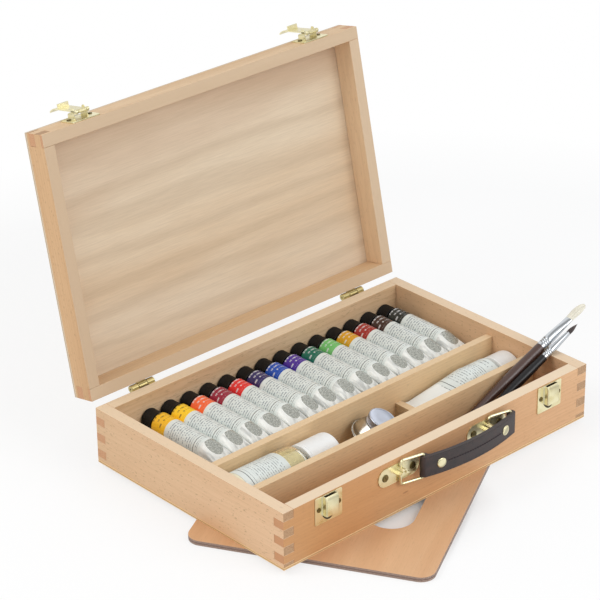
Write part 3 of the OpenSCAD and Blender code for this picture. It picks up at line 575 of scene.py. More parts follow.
def box_wall(node, side, lengthwise, material):
    """One wall, at the left or front for side -1. A lengthwise one runs along x."""
    lid = node.startswith("lid")
    height = LID_TOP - LID_RIM if lid else RIM - FLOOR
    start = 1 if lid == lengthwise else 0
    half, outer = (X_OUT, Y_OUT) if lengthwise else (Y_OUT, X_OUT)
    outline = merged(wall_outline(half, height, LID_FINGER if lid else FINGER, start, lid))
    near, far = sorted((side * outer, side * (outer - WALL)))
    part = extrude(outline, near, far, "xzy" if lengthwise else "yzx")
    build(node + "_wood", [part], "lid" if lid else "base", material, [node],
          LID_PLACE if lid else HERE, EDGE)


box_wall("base_left_wall", -1, False, SIDE_WOOD)
box_wall("base_right_wall", 1, False, SIDE_WOOD)
box_wall("base_front_wall", -1, True, LONG_WOOD)
box_wall("base_back_wall", 1, True, BACK_WOOD)
box_wall("lid_left_rail", -1, False, LID_LEFT_SHADED_WOOD)
box_wall("lid_right_rail", 1, False, LID_RIGHT_LIT_WOOD)
box_wall("lid_front_rail", -1, True, LID_LONG_WOOD)
box_wall("lid_back_rail", 1, True, LID_LONG_WOOD)

for node, body, low, material, place in (
        ("base_floor", "base", BASE, FLOOR_PLY, HERE),
        ("lid_panel", "lid", LID_TOP, LID_PLY, LID_PLACE)):
    build(node + "_ply", [slab(-X_OUT, X_OUT, -Y_OUT, Y_OUT, low, low + PANEL)], body, material,
          [node], place, EDGE)
for node, *size in (
        ("rear_divider", -X_IN, X_IN, REAR_DIV_Y, REAR_DIV_Y + DIVIDER, FLOOR, DIVIDER_TOP),
        ("front_divider", -X_IN, X_IN, FRONT_DIV_Y, FRONT_DIV_Y + DIVIDER, FLOOR, DIVIDER_TOP),
        ("cross_partition", 50.9, 58.9, FRONT_DIV_Y + DIVIDER, REAR_DIV_Y, FLOOR, 32.5)):
    build(node + "_wood", [slab(*size)], "base", DIVIDER_WOOD, [node], HERE,
          EDGE)

board = round_rect(368, 233, 14, 10)
thumb_hole = round_rect(85, 44.6, 22.25, 14, -71.6, -53.3)
build("palette_board", [extrude([board, thumb_hole], 0, 5)], "palette", PALETTE_WOOD,
      ["palette"], move(PALETTE_X, PALETTE_Y, 0) @ turn(PALETTE_TURN, "Z"), 0.7,
      3)

# ---- brass hardware
SHEET = 1.2
LATCH_W, BLOCK_W, BLOCK_D = 33.0, 16.0, 7.0
LATCH_LOW, LATCH_H = 66.3, 19
KEEPER_TOP, KEEPER_H, KEEPER_BLOCK = 63.5, 28.0, 19.5
PIN_Z, PIN_OUT, BARREL, BARREL_RIM, BORE = 71.8, 8.2, 1.9, 1.7, 0.85
SCREW_X, SCREW_R, PLATE_SCREW_R, SCREW_SLOT = (LATCH_W + BLOCK_W) / 4, 2.4, 3.8, 0.6
HINGE_SCREW_X, HINGE_SCREW_Z = 8, 11
SLOT_HALF, SLOT_DROP = 8.4, 6.6
HANDLE_Z, BAR_OUT, WIRE = 49.5, 3.3, 1.4
RING_REACH, RING_LEAN = 25.6, 12.6


def front_of(x, z, out=0.0):
    """Looks forward from the front face: part z points out of the box."""
    return move(x, -Y_OUT - out, z) @ turn(90, "X")


def back_of(x, z, out=0.0):
    return move(x, Y_OUT + out, z) @ turn(-90, "X")


def screw_head(radius, tilt):
    """A slotted head that stands on z = 0 and looks along +z."""
    parts = [lathe([(radius, 0), (radius, 0.35), (radius * 0.93, 0.5)], 32)]
    edge = math.degrees(math.asin(SCREW_SLOT / 2 / radius))
    for half in (0, 180):
        shape = arc(0, 0, radius * 0.90, edge + half, 180 - edge + half, 16)
        parts.append(placed(extrude(shape, 0.5, 1.0), turn(tilt, "Z")))
    return parts


def screws(name, body, spots, node, place):
    """All heads of one body, each spot a radius, a tilt and a place."""
    heads = [placed(part, spot) for radius, tilt, spot in spots
             for part in screw_head(radius, tilt)]
    build(name, heads, body, SCREW_BRASS, [node], place, 0.12)


def raised_block(z0, height, slope=1.6):
    """Sheet pressed out into an open block: legs on the plate and a face that slopes in at
    its upper end."""
    def outline(depth):
        half, r, t = BLOCK_W / 2, 1.6, SHEET
        outer = [(-half - 1.4, -t), (-half, -t - 0.8)]
        outer += arc(-half + r, -depth + r, r, 180, 270, 5)
        outer += arc(half - r, -depth + r, r, 270, 360, 5)
        outer += [(half, -t - 0.8), (half + 1.4, -t)]
        inner = [(half + 0.6, -t + 0.6), (half - t, -t + 0.6)]
        inner += arc(half - r, -depth + r, r - t + 0.2, 360, 270, 5)
        inner += arc(-half + r, -depth + r, r - t + 0.2, 270, 180, 5)
        return outer + inner + [(-half + t, -t + 0.6), (-half - 0.6, -t + 0.6)]
    levels = ((0, 0), (height - 3.5, 0), (height - 1.2, slope * 0.6), (height, slope))
    return rings_to_mesh([[(x, y, z0 + z) for x, y in outline(BLOCK_D - less)]
                          for z, less in levels])


def plate(low, height):
    """A latch's flat plate with its lower edge at low."""
    return placed(extrude(round_rect(LATCH_W, height, 1.5, 5), 0, SHEET),
                  front_of(0, low + height / 2))


ON_FRONT = move(0, -Y_OUT, 0)
PLATE_FACE = -Y_OUT - SHEET
block_low = KEEPER_TOP - KEEPER_BLOCK
keeper = [plate(KEEPER_TOP - KEEPER_H, KEEPER_H),
          placed(raised_block(block_low, KEEPER_BLOCK), ON_FRONT)]
# Painted shade: dark sheets on the plate's face, one curved under the block where the sheet that
# made the block left a slot, and one inside the block
curve = [(u, block_low - 0.2 - SLOT_DROP * (1 - (u / SLOT_HALF) ** 2))
         for u in [SLOT_HALF - k * 1.4 for k in range(1, 12)]]
shade_sheets = [extrude([(-SLOT_HALF, block_low), (SLOT_HALF, block_low)] + curve,
                   PLATE_FACE - 0.06, PLATE_FACE + 0.1, "xzy"),
           slab(-6.4, 6.4, PLATE_FACE - 0.08, PLATE_FACE + 0.1, block_low + 1, KEEPER_TOP - 0.8)]
build("catch_keeper_painted_shade", both(shade_sheets, LATCH_X), "base", PAINTED_SHADE)
build("catch_keepers_brass", both(keeper, LATCH_X), "base", BRASS, ["catch_keepers"],
      HERE, 0.22)

ends = [(side, dx) for side in SIDES for dx in SIDES]
spots = []
for side, dx in ends:
    tilt = 35 * dx + 20 * side
    spots += [(SCREW_R, tilt, front_of(side * LATCH_X + dx * SCREW_X, KEEPER_TOP - 12.5,
                                       SHEET - 0.1)),
              (PLATE_SCREW_R, tilt, front_of(side * HANDLE_X + dx * 17.5, HANDLE_Z, SHEET - 0.1)),
              (SCREW_R, 50 * dx, back_of(side * HINGE_X + dx * HINGE_SCREW_X,
                                         HINGE_Z - HINGE_SCREW_Z, 0.9))]
screws("base_screw_heads", "base", spots, "base_screws", HERE)

# The handle plate's own middle is bent out over the ring's bar
arch = [(-6.2, 0.9), (-4.2, 1.3)] + arc(0, BAR_OUT, WIRE + 0.9, 200, -20, 14)
arch += [(4.2, 1.3), (6.2, 0.9)]
bridge = placed(extrude(strip(arch, 1.1), -9.5, 9.5, "xzy"), MIRROR_Y)
stadium = extrude(round_rect(52, 19, 9.49, 12), 0, SHEET)
corner, reach, high = 3.2, RING_REACH, 12.5
loop = []
for cx, cz, a in ((reach - corner, high - corner, 90), (reach - corner, corner - high, 0),
                  (corner, corner - high, -90), (corner, high - corner, -180)):
    loop += [(u, 0, v) for u, v in arc(cx, cz, corner, a, a - 90, 6)]
for side, word in zip(SIDES, ("left", "right")):
    x = side * HANDLE_X
    build(f"handle_plate_{word}_brass",
          [placed(stadium, front_of(x, HANDLE_Z)), placed(bridge, move(x, -Y_OUT, HANDLE_Z))],
          "base", BRASS, [f"handle_plate_{word}"], HERE, 0.25)
    build(f"handle_ring_{word}_wire", [pipe(loop, WIRE, 14, True, up=(0, 1, 0))],
          f"ring_{word}", BRASS_WIRE, [f"handle_ring_{word}"],
          move(x, -Y_OUT - BAR_OUT, HANDLE_Z) @ turn(-RING_LEAN, "Z"))

# The strap lies between the rings' outer bars and bows out in the middle
TIP_X = RING_REACH * math.cos(math.radians(RING_LEAN))
TIP_OUT = BAR_OUT + RING_REACH * math.sin(math.radians(RING_LEAN))
CHORD, LOOP_R, STRAP_T, BOW = 2 * HANDLE_X, 4.2, 3.6, 7.5
STRAP_HALF_W, RIVET_IN = 10.75, 15.5
BOW_R = ((CHORD / 2) ** 2 + BOW ** 2) / (2 * BOW)
BOW_Y = LOOP_R - STRAP_T / 2 + BOW - BOW_R
STRAP_PLACE = move(-HANDLE_X + TIP_X, -Y_OUT - TIP_OUT, HANDLE_Z) @ turn(180, "X")


def on_bow(x, offset=0.0):
    """Point of the strap above x, that far outside its middle."""
    a = math.asin((x - CHORD / 2) / BOW_R)
    r = BOW_R + offset
    return CHORD / 2 + r * math.sin(a), BOW_Y + r * math.cos(a)


outline = arc(0, 0, LOOP_R, 368, 104, 22)
outline += [on_bow(2 + i * 112 / 40, STRAP_T / 2) for i in range(41)]
outline += arc(CHORD, 0, LOOP_R, 76, -188, 22)
outline += [on_bow(110 - i * 104 / 36, -STRAP_T / 2) for i in range(37)]
holes = [arc(cx, 0, WIRE + 0.2, 360, 0, 20)[:-1] for cx in (0, CHORD)]
build("handle_strap_leather", [extrude([outline] + holes, -STRAP_HALF_W, STRAP_HALF_W)],
      "strap", LEATHER, ["handle_strap"], STRAP_PLACE, 0.55, 3, 45)
seam = []
for i in range(22):
    x = 23 + i * 3.2
    stitch = [(*on_bow(x + s * 2.2, STRAP_T / 2 + h), 0.0)
              for s, h in ((0, -0.25), (0.2, 0.12), (0.5, 0.2), (0.8, 0.12), (1, -0.25))]
    seam.append(pipe(stitch, 0.5, 8))
build("strap_stitches", seam, "strap", STITCH, place=STRAP_PLACE)
# Pressed lines that run beside the strap's two long edges
creases = [pipe([(*on_bow(4 + i * 108 / 50, STRAP_T / 2 + 0.02), z) for i in range(51)], 0.16, 6)
           for z in (-9.2, 9.2)]
build("strap_edge_creases", creases, "strap", LEATHER, place=STRAP_PLACE)

rivets = []
dome = [(5.0, 0), (5.0, 0.35), (4.8, 0.7), (4.1, 1.0), (2.8, 1.17), (1.3, 1.25), (0.0, 1.27)]
for side in SIDES:
    away = side * (CHORD / 2 - RIVET_IN)
    lean = math.degrees(math.asin(away / BOW_R))
    out = move(*on_bow(CHORD / 2 + away), 0) @ turn(-lean, "Z") @ turn(-90, "X")
    lift = move(0, 0, STRAP_T / 2 + 0.05)
    rivets += [placed(lathe(dome, 40), out @ lift),
               placed(lathe([(r, h * 0.5) for r, h in dome], 40), out @ turn(180, "X") @ lift)]
build("strap_rivets_brass", rivets, "strap", BRASS, ["strap_rivets"], STRAP_PLACE)

# Hinges
HINGE_W, KNUCKLE, LEAF_H, LEAF_CLEAR = 28.0, 3.6, 17.0, 4.0
MID_W = HINGE_W * 0.38
OUTER_W = (HINGE_W - MID_W) / 2 - 0.3
HINGE_AXIS = move(0, HINGE_Y, HINGE_Z)


def knuckle(width):
    return spindle(width / 2, KNUCKLE - 1.9, KNUCKLE - 0.35, KNUCKLE, 0.35, 40)


def leaf(right):
    """A leaf in the plane behind the hinge's axis, from the right half of its outline."""
    return extrude([(-u, v) for u, v in reversed(right)] + right, -4.0, -3.0, "xzy")


half, gap = HINGE_W / 2, MID_W / 2 + 0.3
base_leaf = [leaf([(gap, -LEAF_CLEAR), (gap, 0), (half, 0), (half, -LEAF_H)])]
base_leaf += [placed(knuckle(OUTER_W), move(side * (half - OUTER_W / 2), 0, 0)) for side in SIDES]
lid_leaf = [leaf([(MID_W / 2, 0), (MID_W / 2, LEAF_CLEAR), (half, LEAF_CLEAR), (half, LEAF_H)]),
            knuckle(MID_W)]
pin = [spindle(half, 0, 0.9, 1.5, 0.5)]
for name, parts, body, node, place, bevel in (
        ("base_hinge_leaves_brass", base_leaf, "base", "base_hinge_leaves", HERE, 0.15),
        ("lid_hinge_leaves_brass", lid_leaf, "lid", "lid_hinge_leaves", LID_PLACE, 0.15),
        ("hinge_pins_brass", pin, "base", "hinge_pins", HERE, 0)):
    build(name, both([placed(part, HINGE_AXIS) for part in parts], HINGE_X), body, HINGE_BRASS,
          [node], place, bevel)

# Latches on the lid, made as if it were shut
EAR_W = (BLOCK_W - 9.4) / 2 - 0.3
PIN_AXIS = move(0, -Y_OUT - PIN_OUT, PIN_Z)
latch = [plate(LATCH_LOW, LATCH_H), placed(raised_block(PIN_Z + 2.3, 10.1, 1.0), ON_FRONT)]
for side in SIDES:
    middle = side * (BLOCK_W - EAR_W) / 2
    ear = spindle(EAR_W / 2, BORE, BARREL_RIM, BARREL, 0.2)
    latch += [placed(ear, PIN_AXIS @ move(middle, 0, 0)),
              slab(middle - EAR_W / 2, middle + EAR_W / 2, -Y_OUT - BLOCK_D,
                   -Y_OUT - BLOCK_D + SHEET, PIN_Z - 1, PIN_Z + 3.8)]
build("latch_plates_brass", both(latch, LATCH_X), "lid", BRASS, ["latch_plates"],
      LID_PLACE, 0.2)
pin = placed(spindle(8, 0, 0.55, 0.8, 0.3, 16), PIN_AXIS)
build("latch_pins_brass", both([pin], LATCH_X), "lid", BRASS_WIRE, ["latch_pins"],
      LID_PLACE)
spots = []
for side, dx in ends:
    spots += [(SCREW_R, 25 * dx, front_of(side * LATCH_X + dx * SCREW_X, PIN_Z + 5.5,
                                          SHEET - 0.1)),
              (SCREW_R, 60 * dx, back_of(side * HINGE_X + dx * HINGE_SCREW_X,
                                         HINGE_Z + HINGE_SCREW_Z, 0.9))]
screws("lid_screw_heads", "lid", spots, "lid_screws", LID_PLACE)

# Hasps, whose sections are drawn hanging down, with the side away from the box at +y
CLAW = PIN_Z - block_low + 0.3
ARM = CLAW + 4.0
TAB_R = 14
hang = [(0.0, -BARREL + 0.3), (0.0, -ARM)]
hang += [(TAB_R - TAB_R * math.cos(math.radians(a)), -ARM - TAB_R * math.sin(math.radians(a)))
         for a in (5, 12, 20, 28, 36, 44)]
claw = [(-5, -CLAW - SHEET), (0.3, -CLAW - SHEET), (0.3, -CLAW), (-4.6, -CLAW),
        (-5, -CLAW - 0.4)]
rib = [(0.4, -6), (1.5, -8), (1.5, -20), (0.4, -22)]
flange = [(-0.3, -3.0), (0.3, -3.0), (0.3, -7.9), (-0.3, -7.9), (-2.4, -7.4), (-3.2, -6.2),
          (-3.0, -4)]
sections = [(strip(hang, SHEET), -7, 7), (claw, -6.4, 6.4), (rib, -2.2, 2.2),
            (flange, -7, -6), (flange, 6, 7)]
parts = [placed(extrude(shape, x0, x1, "yzx"), MIRROR_Y) for shape, x0, x1 in sections]
parts.append(spindle(4.7, BORE, BARREL_RIM, BARREL, 0.2))
for side, word in zip(SIDES, ("left", "right")):
    build(f"hasp_{word}_brass", parts, f"hasp_{word}", BRASS, [f"hasp_{word}"],
          LID_PLACE @ move(side * LATCH_X, 0, 0) @ PIN_AXIS @ turn(-180, "X"), 0.2)


# ---- contents
LABEL, PALE = rgb(220, 226, 222), rgb(236, 238, 234)
INK, DARK_INK = rgb(96, 100, 102), rgb(40, 42, 44)
LYING = turn(90, "Y") @ turn(-90, "Z")


def banded(name, bands, radius, lines, dashes, rough, facet=None, seed=0.0):
    """Printed tube or label: bands of colour along z, thin rings, and rows of short dashes."""
    m = Shade(name, rough=rough)
    place = m.parts(m.object)
    top = bands[-1][0] + 20
    base = m.ramp(m.span(place[2], 0, top * MM), [(z / top, c) for z, c in bands], True)
    around = m.times(m.math("ARCTAN2", place[0], m.times(place[1], -1.0)), radius * MM)
    for low, high, pitch, thick, reach, ink, size in dashes:
        row = m.math("DIVIDE", place[2], pitch * MM)
        count = m.math("FLOOR", row)
        stroke = m.math("LESS_THAN", m.math("FRACT", row), thick)
        spot = m.add("ShaderNodeCombineXYZ", {
            0: m.times(around, size), 1: m.times(count, 7.31), 2: 0.5})
        dash = m.span(m.noise(spot, 1.0, 3.0, 0.75), 0.46, 0.50)
        length = m.noise(m.add("ShaderNodeCombineXYZ", {0: m.times(count, 3.7)}), 1.0, 0.0)
        inside = m.times(
            m.math("LESS_THAN", m.math("ABSOLUTE", around), m.times(length, reach * 1.8)),
            m.math("COMPARE", place[2], (low + high) / 2 * MM, (high - low) / 2 * MM))
        base = m.mix(m.times(stroke, dash, inside, 0.72), base, ink)
    for z, thick, ink in lines:
        base = m.mix(m.math("COMPARE", place[2], z * MM, thick * MM / 2), base, ink)
    if facet:
        # Bare metal shows on the flattened side, in an oval cut off by the printed ring. The
        # oval's grey is partly a painted dark reflection, and the oval sits off the middle
        # towards +x, the side that would mirror darker surroundings.
        middle, half_long, half_wide, end = facet
        u = m.math("SUBTRACT", m.math("DIVIDE", place[0], half_wide * MM), 0.25)
        v = m.math("DIVIDE", m.math("SUBTRACT", place[2], middle * MM), half_long * MM)
        away = m.math("ADD", m.times(u, u), m.times(v, v))
        tail = m.math("LESS_THAN", place[2], end * MM)
        inside = m.times(m.math("LESS_THAN", away, 1.0), tail)
        # The squeezed tail is glossy; the soft grey streaks in its folds are painted reflection
        # and shade
        crease = m.span(m.noise(m.scaled((200, 120, 40), (seed, 0.0, 0.0)), 1.0, 2.0, 0.5),
                        0.46, 0.62, 0.0, 0.46)
        base = m.mix(m.times(crease, tail), base, rgb(120, 124, 122))
        speck = m.ramp(m.noise(m.object, 1100.0, 3.0, 0.8), [(0.38, rgb(104, 106, 98)),
                                                             (0.62, rgb(206, 208, 200))])
        base = m.mix(inside, base, speck)
        m.set("Metallic", m.times(inside, 0.35))
    dents = m.noise(m.object, 210.0, 3.0, 0.6)
    m.set("Base Color", base)
    m.set("Roughness", m.span(dents, 0.3, 0.7, rough - 0.1, rough + 0.1))
    m.set("Normal", m.bump(dents, 0.35, 0.5))
    m.set("Specular IOR Level", 0.45)
    return m.mat


def wedge_ring(t, half_w, half_t, radius, z):
    """Section of a tube between its flat end, t = 0, and its round body, t = 1."""
    r = max(t * radius, min(half_t, 0.35))
    w = (1 - t) * half_w + t * radius
    h = max((1 - t) * half_t + t * radius, r)
    return [(x, y, z) for x, y in round_rect(2 * w, 2 * h, r, 8)]


def tube_skin(radius, length, half_w, crimp, wedge, cap, thick=0.8, shoulder=3.0, neck=4.5,
              seed=0):
    """Loft of a squeezable tube from its folded end to its shoulder."""
    dice = random.Random(seed)
    fold, steps, body_steps = 5.0, 10, 6
    thin = thick * 0.62
    rings = [wedge_ring(0, half_w, t, radius, z)
             for z, t in ((0, thick), (fold, thick), (fold + 0.3, thin), (crimp, thin))]
    for i in range(1, steps + 1):
        t = i / steps
        ring = wedge_ring(t ** 0.92, half_w, thin, radius, crimp + wedge * t)
        dent = 0.22 * (1 - t)
        rings.append([(x, y * (1 - 0.03 * math.sin(5 * t + seed)) +
                       dent * math.sin(x * 0.55 + seed + 3 * t) * dice.uniform(0.6, 1), z)
                      for x, y, z in ring])
    body_end = length - cap - shoulder - 0.3
    span = body_end - crimp - wedge
    for i in range(1, body_steps + 1):
        rings.append(wedge_ring(1, half_w, thick, radius, crimp + wedge + span * i / body_steps))
    for r, z in ((radius - 0.5, 0.5), (neck + 3, shoulder - 0.4), (neck, shoulder),
                 (neck, shoulder + 2)):
        rings.append(wedge_ring(1, half_w, thick, r, body_end + z))
    return rings_to_mesh(rings)


TUBES = [("golden_yellow", (243, 187, 38)), ("yellow", (248, 202, 40)),
         ("orange_red", (240, 104, 60)), ("crimson", (146, 32, 58)), ("red", (224, 44, 44)),
         ("indigo", (48, 42, 96)), ("ultramarine", (24, 78, 176)), ("violet", (74, 42, 148)),
         ("viridian", (10, 104, 84)), ("light_green", (112, 190, 106)),
         ("ochre", (216, 156, 26)), ("brick_red", (158, 44, 40)), ("umber", (62, 42, 36)),
         ("black", (38, 44, 42))]
TUBE_R, TUBE_LEN, TUBE_Z, TUBE_END_Y, TUBE_CAP = 11.7, 123.6, 38.5, 118.4, 14.5
TUBE_X, PITCH = -146.6, 24.2
# Colours above this sum of their three parts carry dark print, and the others pale print
BRIGHT = 420
tube_cap = lathe([(9, 0), (9.8, 0.15), (10, 0.5), (10, 1.2), (10, 1.6, 1), (10, 12.9, 1),
                  (10, 13.4), (9.75, 14.05), (9.1, 14.42), (8.5, 14.5), (7.8, 14.5),
                  (7.5, 14.25), (0.05, 14.25)], 176, 0.35, 44)
for i, (colour, value) in enumerate(TUBES):
    tube = f"tube_{i + 1:02d}"
    node = "paint_" + tube
    mark = rgb(70, 60, 40) if sum(value) > BRIGHT else rgb(226, 226, 226)
    material = banded(
        f"tube_label_{colour}",
        [(0, PALE), (36.7, LABEL), (46.1, LABEL), (87.0, rgb(*value)),
         (109.4, rgb(196, 194, 188))],
        TUBE_R, [(45.9, 0.7, DARK_INK), (49.2, 0.35, INK)],
        [(51, 84, 3.0, 0.38, 0.018, rgb(84, 96, 112), 600.0),
         (90, 106, 5.2, 0.34, 0.013, mark, 420.0),
         (40.6, 43.2, 2.5, 0.45, 0.014, DARK_INK, 700.0)],
        0.30, (29.5, 10.0, 7.4, 36.4), 1.7 * i)
    # Each lies turned a few degrees, as if laid in by hand
    place = (move(TUBE_X + PITCH * i, TUBE_END_Y - TUBE_LEN, TUBE_Z) @ turn(-90, "X")
             @ turn((i * 37 % 11) - 5, "Z"))
    skin = tube_skin(TUBE_R, TUBE_LEN, 11.2, 15.5, 21.0, TUBE_CAP, seed=i)
    build(f"{node}_{colour}", [skin], tube, material, [node], place, smooth=28)
    build(f"{node}_cap", [placed(tube_cap, move(0, 0, TUBE_LEN - TUBE_CAP))], tube, BLACK_CAP,
          place=place, smooth=35)

# Clear tray under the tubes
TRAY_X, TRAY_Y0, TRAY_Y1 = 187.1, -9.6, 118.6
TRAY_TOP, TRAY_T, TROUGH, TROUGH_UP = 34.0, 0.8, 12.0, 4.5
half = math.degrees(math.acos(TROUGH_UP / TROUGH))
path = [(-TRAY_X, TRAY_TOP)]
for i in range(len(TUBES)):
    x = TUBE_X + PITCH * i
    dip = arc(x, TRAY_TOP + TROUGH_UP, TROUGH, -90 - half, -90 + half, 16)
    lip = dip[0][0] - 0.45
    dip[0] = (dip[0][0] + 0.12, dip[0][1] - 0.35)
    dip[-1] = (dip[-1][0] - 0.12, dip[-1][1] - 0.35)
    path += [(lip, TRAY_TOP)] + dip + [(2 * x - lip, TRAY_TOP)]
path = [(x, z - TRAY_T / 2) for x, z in path + [(TRAY_X, TRAY_TOP)]]
skirt = [(x, z - TRAY_T / 2) for x, z in path] + [(TRAY_X, FLOOR), (-TRAY_X, FLOOR)]
tray = [extrude(strip(path, TRAY_T), TRAY_Y0, TRAY_Y1, "xzy")]
tray += [extrude(skirt, y, y + TRAY_T, "xzy") for y in (TRAY_Y0, TRAY_Y1 - TRAY_T)]
tray += [slab(x, x + TRAY_T, TRAY_Y0 + TRAY_T, TRAY_Y1 - TRAY_T, FLOOR, TRAY_TOP - TRAY_T)
         for x in (-TRAY_X, TRAY_X - TRAY_T)]
m = Shade("clear_tray_plastic", colour=rgb(238, 242, 240), rough=0.12, Alpha=0.30)
ripple = m.noise(m.object, 90.0, 2.0, 0.5)
m.set("Normal", m.bump(ripple, 0.25, 0.4))
m.set("Roughness", m.span(ripple, 0.3, 0.7, 0.06, 0.2))
build("tube_tray_plastic", tray, "tray", m.mat, ["tube_tray"])

# Bottle of oil
BOTTLE_R = 23.5
BOTTLE = move(-186.5, MID_Y, 31.8) @ LYING
m = Shade("bottle_glass", colour=rgb(252, 248, 232), rough=0.03, IOR=1.47,
          Transmission_Weight=1.0)
m.set("Normal", m.bump(m.noise(m.object, 60.0, 2.0, 0.5), 0.15, 0.5))
outer = [(0, 1.2), (12, 1.0), (19, 0), (21.6, 0.2), (23.0, 1.2), (23.5, 3.2), (23.5, 81.0),
         (23.1, 83.2), (21.6, 85.4), (19.0, 87.4), (16.4, 88.7), (15.0, 89.6), (15.0, 118.4),
         (14.4, 119)]
inner = [(13.0, 119), (13.0, 90.4), (14.6, 88.0), (19.0, 85.0), (20.9, 83.0), (21.4, 80.6),
         (21.4, 4.4), (20.4, 2.8), (12, 2.5), (0, 2.6)]
build("bottle_glass_shell", [lathe(outer + inner, 72)], "bottle", m.mat, ["bottle_glass"],
      BOTTLE, smooth=50)
m = Shade("linseed_oil", colour=rgb(240, 222, 150), rough=0.05, IOR=1.36,
          Transmission_Weight=0.15)
haze = m.noise(m.object, 40.0, 2.0, 0.5)
m.set("Base Color", m.ramp(haze, [(0.3, rgb(242, 230, 182)), (0.7, rgb(250, 242, 206))]))
fill = [(0, 3.0), (19.6, 3.0), (21.2, 5.0), (21.2, 80.2), (20.6, 82.4), (18.0, 84.6), (0, 84.6)]
build("bottle_oil_fill", [lathe(fill, 64)], "bottle", m.mat, ["bottle_oil"], BOTTLE,
      smooth=50)
paper = banded(
    "bottle_label_paper", [(0, rgb(232, 226, 198)), (11.5, LABEL), (12, LABEL)], BOTTLE_R,
    [(18.5, 0.7, DARK_INK), (11.8, 0.3, rgb(150, 140, 110)), (22.0, 0.3, INK)],
    [(25, 58, 2.7, 0.30, 0.026, INK, 620.0)], 0.5)
build("bottle_label", [lathe([(23.55, 6.5), (23.62, 6.6), (23.62, 63.4), (23.55, 63.5)], 96)],
      "bottle", paper, place=BOTTLE, smooth=50)
cap = lathe([(14, 0), (20.9, 0), (21.2, 0.3), (21.2, 2.2), (20.7, 2.5), (20.7, 3.1),
             (21.2, 3.4), (21.2, 4.4), (21.2, 5.0, 1), (21.2, 33.5, 1), (21.2, 34.2),
             (20.8, 36.2), (19.9, 36.9), (18.8, 37.0), (0.05, 36.8)], 288, 0.22, 72)
build("bottle_cap_white", [placed(cap, move(0, 0, 90))], "bottle_cap", WHITE_CAP,
      ["bottle_cap"], BOTTLE, smooth=35)

# Large white tube, its crimp level and its cap against the right wall
BIG_R, BIG_LEN, BIG_CAP, BIG_END = 21.0, 127.0, 24.0, 186.3
BIG = move(BIG_END - BIG_LEN, MID_Y, FLOOR + 21.3) @ LYING
label = banded(
    "white_tube_label", [(0, PALE), (38, LABEL), (104, LABEL)], BIG_R, [(43.0, 0.7, DARK_INK)],
    [(48, 84, 2.9, 0.30, 0.018, INK, 520.0), (86, 96, 4.6, 0.30, 0.013, INK, 300.0),
     (36.5, 39.5, 2.9, 0.30, 0.014, INK, 520.0)], 0.38)
skin = tube_skin(BIG_R, BIG_LEN, BIG_R, 7.0, 60.0, BIG_CAP, 1.0, 5.0, 8.0, seed=31)
build("white_tube_skin", [skin], "white_tube", label, ["white_tube"], BIG,
      smooth=28)
cap = lathe([(12, 0), (19.7, 0), (20.0, 0.3), (20.0, 2.0), (20.0, 2.6, 1), (20.0, 20.5, 1),
             (20.0, 21.2), (19.6, 23.0), (18.6, 23.9), (17.4, 24.0), (0.05, 23.7)], 288, 0.2, 72)
build("white_tube_cap_ribbed", [placed(cap, move(0, 0, BIG_LEN - BIG_CAP))], "white_tube_cap",
      WHITE_CAP, ["white_tube_cap"], BIG, smooth=35)

# Dipper on its clip
DIPPER = move(-0.4, -40.116, 25.477) @ turn(25.4, "Z") @ turn(24.3, "X")
DIPPER_LID_Z = 16
cup = [(0, 0), (21.5, 0), (22.9, 0.1), (23.4, 0.5), (23.5, 1.0), (23.2, 1.5), (22.6, 1.7),
       (21.8, 1.6), (21.4, 2.0), (21.2, 3.0), (19.6, 6.5), (17.2, 10.5), (14.9, 14.0),
       (13.9, 15.2), (13.5, 15.5), (12.8, 15.5), (12.8, 22), (11.8, 22), (11.8, 2), (0, 2)]
clip = strip([(14.6, 0.4), (14.6, -7), (14.2, -7.6), (13.4, -7.9), (-14, -12.2)], 1.2)
build("dipper_cup_steel", [lathe(cup, 96), extrude(clip, -8, 8, "yzx")], "dipper", STEEL,
      ["dipper_cup"], DIPPER, 0.12, 2, 35)
knurl = lathe([(12.9, 0), (13.7, 0), (14.0, 0.3), (14.0, 0.9), (14.0, 1.2, 1), (14.0, 6.4, 1),
               (14.0, 6.7), (14.0, 7.3), (13.75, 7.7), (13.3, 8.0), (12.5, 8.0), (12.1, 7.75),
               (11.6, 7.65), (6, 7.7), (0.05, 7.72)], 320, 0.35, 80)
build("dipper_lid_knurled", [placed(knurl, move(0, 0, DIPPER_LID_Z))], "dipper_lid", LID_STEEL,
      ["dipper_lid"], DIPPER, smooth=35)

# Brushes
BRUSH_Z, BRUSH_RISE = 10.25, 22
FERRULE_GROOVED = 12


def handle_profile(length, neck, thick):
    knots = [(0.0, -2.2), (1.1, -1.9), (1.9, -1.1), (2.2, 0), (2.35, 6),
             (thick * 0.55, length * 0.18), (thick * 0.77, length * 0.42),
             (thick * 0.91, length * 0.62), (thick, length * 0.76),
             (thick * 0.97, length * 0.85), (neck + 0.1, length * 0.955), (neck, length)]
    return [tuple(p)[:2] for p in smooth_line([(r, z, 0) for r, z in knots], 6)] + [(0.0, length)]


def ferrule_profile(start, length, r0, r1):
    rings = [(r0 - 0.1, start)]
    for groove in (4.0, 6.4, 8.8):
        rings += [(r0 + 0.05, start + groove - 1.1), (r0 + 0.05, start + groove - 0.5),
                  (r0 - 0.28, start + groove), (r0 + 0.05, start + groove + 0.5)]
    return rings + [(r0 + 0.05, start + FERRULE_GROOVED), (r1 + 0.08, start + length - 1.0),
                    (r1 - 0.1, start + length)]


